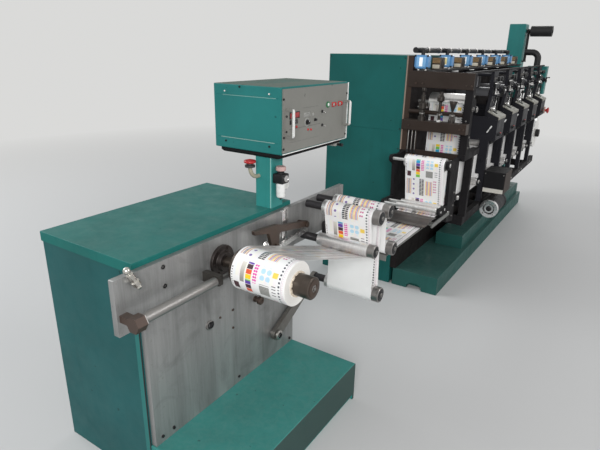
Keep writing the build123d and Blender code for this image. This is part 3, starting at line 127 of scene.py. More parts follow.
class Tree:
    """Node tree of one material, with a short call for each kind of node that the finishes use."""

    def __init__(self, name: str) -> None:
        """Start a material.

        Args:
            name: name of the material.
        """
        self.material = bpy.data.materials.new(name)
        self.material.use_nodes = True
        self.nodes = self.material.node_tree.nodes
        self.links = self.material.node_tree.links
        self.shader = self.nodes["Principled BSDF"]

    def add(self, kind: str, **settings: object) -> bpy.types.Node:
        """Add a node.

        Args:
            kind: the node's type without its ShaderNode prefix.
            settings: values for the node's own properties.

        Returns:
            The new node.
        """
        node = self.nodes.new("ShaderNode" + kind)
        for key, value in settings.items():
            setattr(node, key, value)
        return node

    def feed(self, socket: bpy.types.NodeSocket, value: object) -> None:
        """Link a socket's source, or set its value.

        Args:
            socket: the input to fill.
            value: a source socket, a number or a colour.
        """
        if isinstance(value, bpy.types.NodeSocket):
            self.links.new(value, socket)
        elif isinstance(value, tuple) and len(value) == 3 and socket.type == "RGBA":
            socket.default_value = (*value, 1.0)
        else:
            socket.default_value = value

    def shade(self, **values: object) -> None:
        """Fill the shader's sockets, each named with an underscore for a space."""
        for key, value in values.items():
            self.feed(self.shader.inputs[key.replace("_", " ")], value)

    def place(self, scale: Point = (1.0, 1.0, 1.0)) -> bpy.types.NodeSocket:
        """Object coordinates, multiplied on each axis.

        Args:
            scale: factor on each axis.

        Returns:
            The vector socket.
        """
        mapping = self.add("Mapping")
        mapping.inputs["Scale"].default_value = scale
        self.links.new(self.add("TexCoord").outputs["Object"], mapping.inputs["Vector"])
        return mapping.outputs["Vector"]

    def axes(self, source: str = "Object") -> list[bpy.types.NodeSocket]:
        """The three parts of a texture coordinate.

        Args:
            source: output of the Texture Coordinate node.

        Returns:
            The X, Y and Z sockets.
        """
        split = self.add("SeparateXYZ")
        self.links.new(self.add("TexCoord").outputs[source], split.inputs[0])
        return list(split.outputs)

    def noise(self, vector: bpy.types.NodeSocket, scale: float, detail: float = 3.0, rough: float = 0.55,
              distortion: float = 0.0) -> bpy.types.NodeSocket:
        """Noise at a scale, from 0 to 1.

        Args:
            vector: where to read it.
            scale: cells a metre.
            detail: octaves.
            rough: strength of the fine octaves.
            distortion: how far the cells are pulled about.

        Returns:
            The factor socket.
        """
        node = self.add("TexNoise")
        self.links.new(vector, node.inputs["Vector"])
        numbers = {"Scale": scale, "Detail": detail, "Roughness": rough, "Distortion": distortion}
        for key, number in numbers.items():
            node.inputs[key].default_value = number
        return node.outputs["Fac"]

    def math(self, operation: str, *values: Value) -> bpy.types.NodeSocket:
        """One arithmetic step.

        Args:
            operation: name of the Math node's operation.
            values: its inputs in order.

        Returns:
            The result's socket.
        """
        node = self.add("Math", operation=operation)
        for socket, value in zip(node.inputs, values):
            self.feed(socket, value)
        return node.outputs[0]

    def distance(self, across: Value, upright: Value) -> bpy.types.NodeSocket:
        """Length of the way between two points, from its two parts."""
        squares = (self.math("MULTIPLY", part, part) for part in (across, upright))
        return self.math("SQRT", self.math("ADD", *squares))

    def window(self, value: Value, low: float, high: float) -> bpy.types.NodeSocket:
        """1 where a value lies between two limits, and 0 elsewhere."""
        return self.math("COMPARE", value, (low + high) / 2, (high - low) / 2)

    def spread(self, value: Value, low: float, high: float, to_low: float = 0.0,
               to_high: float = 1.0) -> bpy.types.NodeSocket:
        """A value's range between two limits, laid on another range and held at its ends.

        Args:
            value: the value.
            low: start of its range.
            high: end of its range.
            to_low: what the start becomes.
            to_high: what the end becomes.

        Returns:
            The result's socket.
        """
        node = self.add("MapRange")
        for socket, number in zip(node.inputs, (value, low, high, to_low, to_high)):
            self.feed(socket, number)
        return node.outputs[0]

    def ramp(self, fac: bpy.types.NodeSocket, stops: Sequence[tuple[float, Colour]],
             steps: bool = False) -> bpy.types.NodeSocket:
        """Colours along a factor.

        Args:
            fac: the factor.
            stops: (place, colour) pairs in order.
            steps: hard steps in place of a smooth run.

        Returns:
            The colour socket.
        """
        node = self.add("ValToRGB")
        node.color_ramp.interpolation = "CONSTANT" if steps else "LINEAR"
        elements = node.color_ramp.elements
        while len(elements) < len(stops):
            elements.new(0.5)
        for element, (at, colour) in zip(elements, stops):
            element.position = at
            element.color = (*colour, 1.0)
        self.links.new(fac, node.inputs["Fac"])
        return node.outputs["Color"]

    def mix(self, fac: Value, first: object, second: object) -> bpy.types.NodeSocket:
        """Colour between two.

        Args:
            fac: share of the second.
            first: colour or socket at 0.
            second: colour or socket at 1.

        Returns:
            The colour socket.
        """
        node = self.add("Mix", data_type="RGBA")
        self.feed(node.inputs[0], fac)
        self.feed(node.inputs[6], first)
        self.feed(node.inputs[7], second)
        return node.outputs[2]

    def blend(self, fac: Value, first: Value, second: Value) -> bpy.types.NodeSocket:
        """Number between two.

        Args:
            fac: share of the second.
            first: number or socket at 0.
            second: number or socket at 1.

        Returns:
            The number's socket.
        """
        node = self.add("Mix", data_type="FLOAT")
        for socket, value in zip(node.inputs[:1] + node.inputs[2:4], (fac, first, second)):
            self.feed(socket, value)
        return node.outputs[0]

    def bump(self, height: bpy.types.NodeSocket, strength: float, distance: float) -> None:
        """Raise the surface by a height, over what was raised before.

        Args:
            height: the height's socket.
            strength: share of it that counts.
            distance: how far the full height stands out.
        """
        node = self.add("Bump")
        node.inputs["Strength"].default_value = strength
        node.inputs["Distance"].default_value = distance
        self.links.new(height, node.inputs["Height"])
        normal = self.shader.inputs["Normal"]
        if normal.is_linked:
            self.links.new(normal.links[0].from_socket, node.inputs["Normal"])
        self.links.new(node.outputs["Normal"], normal)


def scaled(colour: Colour, factor: float) -> Colour:
    """A colour made lighter or darker."""
    return tuple(min(1.0, part * factor) for part in colour)


@dataclass(frozen=True)
class Zone:
    """Box, in metres, in which a finish changes its colour; None leaves a side open."""

    low: Corner
    high: Corner
    colour: Colour
    roughness: float = 0.4
    metallic: float = 0.0
    up_only: bool = False

    def mask(self, tree: Tree) -> bpy.types.NodeSocket:
        """Mark the zone.

        Args:
            tree: the material's tree.

        Returns:
            The socket, 1 inside the box and 0 outside it.
        """
        mask: Value = 1.0
        for axis, low, high in zip(tree.axes(), self.low, self.high):
            if low is None and high is None:
                continue
            inside = tree.window(axis, -FAR if low is None else low, FAR if high is None else high)
            mask = tree.math("MULTIPLY", mask, inside)
        if self.up_only:
            mask = tree.math("MULTIPLY", mask, tree.math("GREATER_THAN", tree.axes("Normal")[2], 0.7))
        return mask


def marked(tree: Tree, zones: Sequence[Zone], colour: object, roughness: Value, metallic: Value,
           cloud: Optional[bpy.types.NodeSocket] = None) -> tuple[object, Value, Value]:
    """Change a finish inside its zones.

    Args:
        tree: the material's tree.
        zones: the zones in order.
        colour: the finish's colour outside them.
        roughness: its roughness outside them.
        metallic: its metallic share outside them.
        cloud: factor that clouds the zones' colours too.

    Returns:
        The colour, the roughness and the metallic share.
    """
    for zone in zones:
        mask = zone.mask(tree)
        tint: object = zone.colour
        if cloud is not None:
            tint = tree.ramp(cloud, ((0.3, scaled(zone.colour, 0.9)), (0.72, scaled(zone.colour, 1.06))))
        colour = tree.mix(mask, colour, tint)
        roughness = tree.blend(mask, roughness, zone.roughness)
        metallic = tree.blend(mask, metallic, zone.metallic)
    return colour, roughness, metallic


@dataclass(frozen=True)
class Paint:
    """Machine enamel with a faint orange peel, cloudy wear and dust that lies on what faces up."""

    name: str
    colour: Colour
    roughness: float = 0.35
    metallic: float = 0.0
    clouds: float = 0.14
    dust: float = 0.12
    grime: float = 0.25
    zones: tuple[Zone, ...] = ()
    gloss: float = 0.5

    def build(self) -> bpy.types.Material:
        """Make the material.

        Returns:
            The material.
        """
        tree = Tree(self.name)
        place = tree.place()
        cloud = tree.noise(place, 3.2, 4.0, 0.6, 0.4)
        colour = tree.ramp(cloud, ((0.3, scaled(self.colour, 1 - self.clouds)),
                                   (0.72, scaled(self.colour, 1 + self.clouds))))
        streaks = tree.noise(tree.place((26.0, 26.0, 1.6)), 1.0, 4.0, 0.6)
        dirt = tree.spread(streaks, 0.56, 0.82, 0.0, self.grime)
        colour = tree.mix(dirt, colour, scaled(self.colour, 0.45))
        roughness = tree.spread(tree.noise(place, 14.0, 5.0, 0.65), 0.25, 0.8, self.roughness * 0.8,
                                min(1.0, self.roughness * 1.45))
        colour, roughness, metallic = marked(tree, self.zones, colour, roughness, self.metallic, cloud)
        chips = tree.spread(tree.noise(place, 34.0, 2.0, 0.4), 0.735, 0.755, 0.0, 0.7)
        colour = tree.mix(chips, colour, scaled(self.colour, 0.3))
        up = tree.spread(tree.axes("Normal")[2], 0.5, 0.95)
        lint = tree.spread(tree.noise(place, 38.0, 6.0, 0.75, 0.6), 0.42, 0.78, self.dust * 0.35, self.dust)
        colour = tree.mix(tree.math("MULTIPLY", up, lint), colour, (0.45, 0.44, 0.41))
        tree.shade(Specular_IOR_Level=self.gloss, Base_Color=colour, Roughness=roughness, Metallic=metallic)
        tree.bump(tree.noise(place, 260.0, 2.0, 0.5), 0.05, 0.001)
        return tree.material


@dataclass(frozen=True)
class Turned:
    """Bright or browned metal turned or drawn along one axis, with faint rings, stains and scratches."""

    name: str
    colour: Colour
    roughness: float = 0.3
    metallic: float = 0.9
    along: Axis = Axis.X
    stain: float = 0.2
    stain_colour: Colour = (0.12, 0.1, 0.08)
    zones: tuple[Zone, ...] = ()

    def build(self) -> bpy.types.Material:
        """Make the material.

        Returns:
            The material.
        """
        tree = Tree(self.name)
        fine = [6.0, 6.0, 6.0]
        fine[self.along.value] = 240.0
        rings = tree.noise(tree.place(tuple(fine)), 1.0, 2.0, 0.5)
        worn = tree.noise(tree.place(), 16.0, 4.0, 0.6, 0.4)
        colour = tree.ramp(rings, ((0.3, scaled(self.colour, 0.93)), (0.7, scaled(self.colour, 1.06))))
        stained = tree.spread(worn, 0.48, 0.82, 0.0, self.stain)
        colour = tree.mix(stained, colour, self.stain_colour)
        roughness = tree.math("ADD", tree.spread(rings, 0.3, 0.7, self.roughness * 0.92, self.roughness * 1.1),
                              tree.math("MULTIPLY", stained, 0.3))
        colour, roughness, metallic = marked(tree, self.zones, colour, roughness, self.metallic)
        tree.shade(Base_Color=colour, Roughness=roughness, Metallic=metallic)
        tree.bump(rings, 0.03, 0.0003)
        return tree.material


@dataclass(frozen=True)
class GroundPlate:
    """Ground steel side plate with upright smears, oil stains and fine rust."""

    name: str = "ground_plate_steel"
    colour: Colour = (0.262, 0.262, 0.258)

    def build(self) -> bpy.types.Material:
        """Make the material.

        Returns:
            The material.
        """
        tree = Tree(self.name)
        place = tree.place()
        smears = tree.noise(tree.place((13.0, 13.0, 1.3)), 1.0, 6.0, 0.62, 0.25)
        grinding = tree.noise(tree.place((260.0, 260.0, 5.0)), 1.0, 2.0, 0.5)
        blots = tree.noise(place, 5.5, 6.0, 0.62, 1.2)
        specks = tree.noise(place, 90.0, 4.0, 0.7)
        colour = tree.ramp(smears, ((0.28, scaled(self.colour, 0.62)), (0.5, self.colour),
                                    (0.74, scaled(self.colour, 1.42))))
        colour = tree.mix(tree.spread(grinding, 0.35, 0.7, 0.0, 0.22), colour, scaled(self.colour, 1.5))
        colour = tree.mix(tree.spread(blots, 0.52, 0.76, 0.0, 0.5), colour, (0.12, 0.12, 0.115))
        colour = tree.mix(tree.spread(specks, 0.62, 0.8, 0.0, 0.5), colour, (0.1, 0.075, 0.055))
        roughness = tree.spread(smears, 0.25, 0.75, 0.5, 0.3)
        tree.shade(Base_Color=colour, Roughness=roughness, Metallic=0.55)
        tree.bump(grinding, 0.1, 0.0004)
        tree.bump(blots, 0.05, 0.002)
        return tree.material


@dataclass(frozen=True)
class Stock:
    """Coated paper stock, plain or printed with a generic sheet of labels."""

    name: str
    printed: bool = False
    lay: PrintLay = PrintLay.STRIP
    centre: Spot = (0.0, 0.0)
    radius: float = 0.0
    printed_from: float = 0.0
    # Where painted reflection streaks start along the web; past any web unless given.
    reflection_streaks_from: float = 100.0

    def across_and_along(self, tree: Tree) -> tuple[bpy.types.NodeSocket, bpy.types.NodeSocket]:
        """Distance across the stock and along it, in millimetres.

        Args:
            tree: the material's tree.

        Returns:
            The two sockets.
        """
        if self.lay is PrintLay.STRIP:
            u, v, _ = tree.axes("UV")
            return tree.math("MULTIPLY", u, MM), tree.math("MULTIPLY", v, MM)
        x, y, z = tree.axes()
        turn = tree.math("ARCTAN2", tree.math("SUBTRACT", z, self.centre[1]),
                         tree.math("SUBTRACT", y, self.centre[0]))
        return (tree.math("MULTIPLY_ADD", x, MM, ROLL_EDGE),
                tree.math("MULTIPLY_ADD", turn, self.radius * MM, ROLL_START))

    def motifs(self, tree: Tree, colour: object) -> bpy.types.NodeSocket:
        """Lay the generic label sheet over the paper.

        Args:
            tree: the material's tree.
            colour: the bare paper.

        Returns:
            The printed paper's colour.
        """
        u, v = self.across_and_along(tree)
        cell = tree.math("MODULO", v, SHEET_LENGTH)

        def patch(u0: float, u1: float, v0: float, v1: float, ink: object, share: Value = 1.0) -> None:
            """Print ink in a rectangle of the sheet.

            Args:
                u0: its start across the stock.
                u1: its end across the stock.
                v0: its start along the sheet.
                v1: its end along the sheet.
                ink: its colour.
                share: how much it covers, or the figure that it is printed in.
            """
            nonlocal colour
            mask = tree.math("MULTIPLY", tree.window(u, u0, u1), tree.window(cell, v0, v1))
            colour = tree.mix(tree.math("MULTIPLY", mask, share), colour, ink)

        def dots(pitch_u: float, pitch_v: float, size: float, start: float) -> bpy.types.NodeSocket:
            """Discs on a grid.

            Args:
                pitch_u: from disc to disc across the stock.
                pitch_v: from disc to disc along it.
                size: radius of a disc.
                start: where the grid starts across the stock.

            Returns:
                The socket, 1 in a disc and 0 beside it.
            """
            past = tree.math("SUBTRACT", u, start)
            du = tree.math("SUBTRACT", tree.math("MODULO", past, pitch_u), pitch_u / 2)
            dv = tree.math("SUBTRACT", tree.math("MODULO", v, pitch_v), pitch_v / 2)
            return tree.math("LESS_THAN", tree.distance(du, dv), size)

        def comb(source: bpy.types.NodeSocket, pitch: float, duty: float) -> bpy.types.NodeSocket:
            """Bars at a pitch."""
            return tree.math("LESS_THAN", tree.math("MODULO", source, pitch), duty)

        def cycle(source: bpy.types.NodeSocket, period: float,
                  *stops: tuple[float, Colour]) -> bpy.types.NodeSocket:
            """Inks that follow each other and start again after each period."""
            turns = tree.math("DIVIDE", tree.math("MODULO", source, period), period)
            return tree.ramp(turns, stops, steps=True)

        warm = cycle(u, 24.0, (0.0, (0.2, 0.09, 0.05)), (0.2, (0.86, 0.6, 0.24)), (0.4, (0.45, 0.1, 0.12)),
                     (0.6, (0.8, 0.68, 0.44)), (0.8, (0.14, 0.12, 0.3)))
        vivid = cycle(u, 20.0, (0.0, (0.9, 0.72, 0.04)), (0.25, (0.7, 0.06, 0.1)), (0.5, (0.08, 0.2, 0.5)),
                      (0.75, (0.85, 0.4, 0.06)))
        soft = cycle(u, 35.0, (0.0, (0.84, 0.7, 0.72)), (0.3, (0.72, 0.8, 0.84)), (0.6, (0.86, 0.83, 0.64)))
        ladder = cycle(v, 102.0, (0.0, (0.06, 0.02, 0.03)), (0.16, (0.75, 0.1, 0.03)),
                       (0.32, (0.9, 0.62, 0.02)), (0.48, (0.2, 0.55, 0.08)), (0.64, (0.02, 0.35, 0.6)),
                       (0.8, (0.12, 0.05, 0.36)))
        grey = tree.ramp(tree.math("DIVIDE", cell, 80.0), ((0.1, (0.7, 0.66, 0.58)), (0.9, (0.2, 0.18, 0.16))))
        cells = tree.math("MULTIPLY", comb(u, 14.0, 12.2), comb(v, 8.5, 6.0))
        patch(8.0, 186.0, 3.0, 60.0, soft, 0.35)
        patch(60.0, 166.0, 150.0, 226.0, soft, 0.3)
        patch(4.0, 8.0, 30.0, 100.0, (0.07, 0.06, 0.07), comb(v, 9.0, 4.0))
        patch(10.0, 36.0, 124.0, 218.0, warm, comb(u, 4.8, 3.0))
        patch(12.0, 34.0, 78.0, 108.0, (0.07, 0.028, 0.035))
        patch(42.0, 60.0, 120.0, 220.0, (0.2, 0.13, 0.36), dots(18.0, 30.0, 5.5, 42.0))
        patch(40.0, 57.0, 8.0, 72.0, grey, 0.9)
        patch(63.0, 86.0, 4.0, 110.0, ladder, comb(v, 17.0, 15.5))
        patch(92.0, 108.0, 6.0, 66.0, (0.72, 0.06, 0.4), dots(8.0, 10.0, 3.9, 92.0))
        patch(84.0, 112.0, 117.0, 222.0, (0.03, 0.025, 0.035), cells)
        patch(118.0, 158.0, 128.0, 214.0, vivid, comb(u, 5.0, 2.9))
        patch(120.0, 160.0, 66.0, 104.0, (0.2, 0.2, 0.18), tree.math("MAXIMUM", dots(5.0, 5.0, 2.0, 0.0), 0.72))
        patch(118.0, 164.0, 6.0, 52.0, (0.45, 0.68, 0.82), dots(23.0, 23.0, 9.0, 118.0))
        patch(164.0, 182.0, 120.0, 196.0, (0.55, 0.1, 0.26), dots(9.0, 16.0, 3.8, 164.0))
        patch(168.0, 188.0, 16.0, 34.0, (0.86, 0.62, 0.1))
        patch(170.0, 186.0, 60.0, 96.0, (0.08, 0.07, 0.08), comb(v, 12.0, 3.0))
        patch(194.0, 201.0, 0.0, SHEET_LENGTH, (0.05, 0.05, 0.07), comb(v, 13.0, 6.5))
        patch(205.0, 206.4, 0.0, SHEET_LENGTH, (0.5, 0.4, 0.46))
        patch(210.0, 211.4, 0.0, SHEET_LENGTH, (0.62, 0.3, 0.45), comb(v, 7.0, 4.0))
        return colour

    def build(self) -> bpy.types.Material:
        """Make the material.

        Returns:
            The material.
        """
        tree = Tree(self.name)
        place = tree.place()
        mottle = tree.noise(place, 7.0, 3.0, 0.5)
        paper = tree.ramp(mottle, ((0.3, (0.8, 0.79, 0.78)), (0.75, (0.88, 0.875, 0.865))))
        colour = paper
        if self.printed:
            colour = self.motifs(tree, paper)
            _, v = self.across_and_along(tree)
            colour = tree.mix(tree.math("LESS_THAN", v, self.printed_from * MM), colour, paper)
            # Far along the web the print fades under grey and white streaks: painted reflections on the strand
            # to the rewind roll.
            drawn = tree.noise(tree.place((55.0, 1.2, 1.2)), 1.0, 4.0, 0.7)
            streaks = tree.ramp(drawn, ((0.3, (0.16, 0.15, 0.14)), (0.5, (0.46, 0.45, 0.43)),
                                        (0.68, (0.9, 0.89, 0.87))))
            streaked = tree.spread(v, self.reflection_streaks_from * MM, (self.reflection_streaks_from + REFLECTION_STREAK_FADE) * MM,
                                   0.0, 0.68)
            colour = tree.mix(streaked, colour, streaks)
        if self.lay is PrintLay.ROLL:
            side = tree.math("GREATER_THAN", tree.math("ABSOLUTE", tree.axes("Normal")[0]), 0.6)
            colour = tree.mix(side, colour, self.layers(tree))
        tree.shade(Base_Color=colour, Roughness=0.3, Specular_IOR_Level=0.5, Coat_Weight=0.35,
                   Coat_Roughness=0.14)
        tree.bump(tree.noise(place, 60.0, 2.0, 0.5), 0.04, 0.001)
        return tree.material

    def layers(self, tree: Tree) -> bpy.types.NodeSocket:
        """Edges of the wound layers on the roll's side: noise that is the same all round its axis.

        Args:
            tree: the material's tree.

        Returns:
            The colour socket.
        """
        y, z = (tree.math("SUBTRACT", axis, centre) for axis, centre in zip(tree.axes()[1:], self.centre))
        join = tree.add("CombineXYZ")
        tree.links.new(tree.math("MULTIPLY", tree.distance(y, z), 900.0), join.inputs[0])
        rings = tree.noise(join.outputs[0], 1.0, 3.0, 0.7)
        return tree.ramp(rings, ((0.3, (0.66, 0.63, 0.58)), (0.5, (0.82, 0.8, 0.76)),
                                 (0.7, (0.9, 0.885, 0.85))))


@dataclass(frozen=True)
class Board:
    """Brown cardboard of the roll's core."""

    name: str = "core_cardboard"

    def build(self) -> bpy.types.Material:
        """Make the material.

        Returns:
            The material.
        """
        tree = Tree(self.name)
        fibre = tree.noise(tree.place(), 240.0, 4.0, 0.7)
        board = tree.ramp(fibre, ((0.3, (0.5, 0.42, 0.33)), (0.7, (0.75, 0.67, 0.56))))
        tree.shade(Base_Color=board, Roughness=0.85)
        tree.bump(fibre, 0.2, 0.0006)
        return tree.material


@dataclass(frozen=True)
class Moulded:
    """Plastic or rubber with a fine grain."""

    name: str
    colour: Colour
    roughness: float = 0.45
    grain: float = 500.0
    zones: tuple[Zone, ...] = ()
    gloss: float = 0.5
    glow: float = 0.0

    def build(self) -> bpy.types.Material:
        """Make the material.

        Returns:
            The material.
        """
        tree = Tree(self.name)
        grain = tree.noise(tree.place(), self.grain, 2.0, 0.5)
        smudge = tree.noise(tree.place(), 30.0, 4.0, 0.6)
        colour = tree.ramp(smudge, ((0.3, scaled(self.colour, 0.88)), (0.75, scaled(self.colour, 1.1))))
        roughness = tree.spread(smudge, 0.3, 0.75, self.roughness * 0.8, min(1.0, self.roughness * 1.25))
        colour, roughness, metallic = marked(tree, self.zones, colour, roughness, 0.0)
        tree.shade(Specular_IOR_Level=self.gloss, Base_Color=colour, Roughness=roughness, Metallic=metallic)
        if self.glow:
            tree.shade(Emission_Color=(*self.colour, 1.0), Emission_Strength=self.glow)
        tree.bump(grain, 0.08, 0.0004)
        return tree.material


GREEN: Colour = (0.025, 0.175, 0.165)
BEIGE: Colour = (0.085, 0.118, 0.098)
OPEN: Corner = (None, None, None)  # a zone's corner with no limit

CASE_ZONES = (
    Zone((None, None, 1.32), OPEN, BEIGE, 0.7, 0.0, True),
    Zone((-0.462, None, 1.1265), (-0.196, None, 1.1293), (0.3, 0.42, 0.38), 0.5),
    Zone((-0.448, None, 1.2912), (-0.19, None, 1.294), (0.2, 0.36, 0.33), 0.5),
)
STOP_ZONES = (
    Zone(OPEN, (None, None, 1.0295), (0.4, 0.36, 0.27), 0.35),
    Zone((None, None, 1.0295), (None, None, 1.0445), (0.03, 0.03, 0.03), 0.5),
)
REGULATOR_ZONES = (
    Zone(OPEN, (None, None, 0.9075), (0.72, 0.72, 0.7), 0.25),
    Zone((None, None, 0.9675), OPEN, (0.5, 0.33, 0.31), 0.45),
    Zone((-0.2305, None, None), (None, None, 0.96), (0.75, 0.75, 0.72), 0.3),
)
MOTOR_ZONES = (
    Zone(OPEN, (None, 0.4355, 0.53), (0.75, 0.75, 0.75), 0.15, 1.0),
)
MOTOR_BOX_ZONES = (
    Zone((0.156, None, 0.574), (0.286, 0.4115, 0.602), (0.62, 0.6, 0.54), 0.4),
    Zone((0.289, None, None), OPEN, (0.035, 0.025, 0.02), 0.5),
)
FAR_STOP_ZONES = (
    Zone((0.197, None, None), OPEN, (0.55, 0.02, 0.02), 0.3),
)
# Painted highlight: a lighter green strip on the rewind cabinet's near face along its rounded corner.
CABINET_HIGHLIGHT_ZONES = (
    Zone((-0.262, None, None), (-0.2405, -2.148, None), (0.02, 0.155, 0.145), 0.36),
)
# Painted shade: the step's end face towards the operator's side is a darker green.
STEP_SHADE_ZONES = (
    Zone((0.1165, None, None), OPEN, (0.028, 0.062, 0.056), 0.5),
)
# Painted highlight: a pale green strip on the control post's near face along its corner.
POST_HIGHLIGHT_ZONES = (
    Zone((-0.2338, None, None), (None, -1.4718, None), (0.26, 0.46, 0.42), 0.3),
)
BOSS_ZONES = (
    Zone((0.1135, None, None), OPEN, (0.3, 0.285, 0.275), 0.32, 0.9),
    Zone(OPEN, (-0.1285, None, None), (0.03, 0.028, 0.03), 0.45, 0.3),
)
DRIVE_ZONES = (
    Zone((None, None, 0.9), (-0.2285, -0.1495, None), (0.26, 0.2, 0.16), 0.45),
    Zone((-0.2285, None, 0.9), (None, -0.1495, None), (0.045, 0.03, 0.023), 0.45),
)
PANEL_ZONES = (
    Zone((-0.132, None, None), OPEN, (0.78, 0.78, 0.76), 0.3),
)
LAMP_ZONES = (
    Zone(OPEN, (None, None, 1.3698), (0.6, 0.6, 0.58), 0.3, 0.6),
)
SCREW_ZONES = (
    Zone((None, None, 1.246), OPEN, (0.03, 0.03, 0.032), 0.4),
)
GUIDE_ZONES = (
    Zone(OPEN, (None, -2.1985, None), (0.07, 0.046, 0.036), 0.5, 0.4),
    Zone((None, -1.889, None), (None, -1.865, None), (0.05, 0.045, 0.04), 0.5, 0.4),
)

Finish = Union[Paint, Turned, GroundPlate, Stock, Board, Moulded]

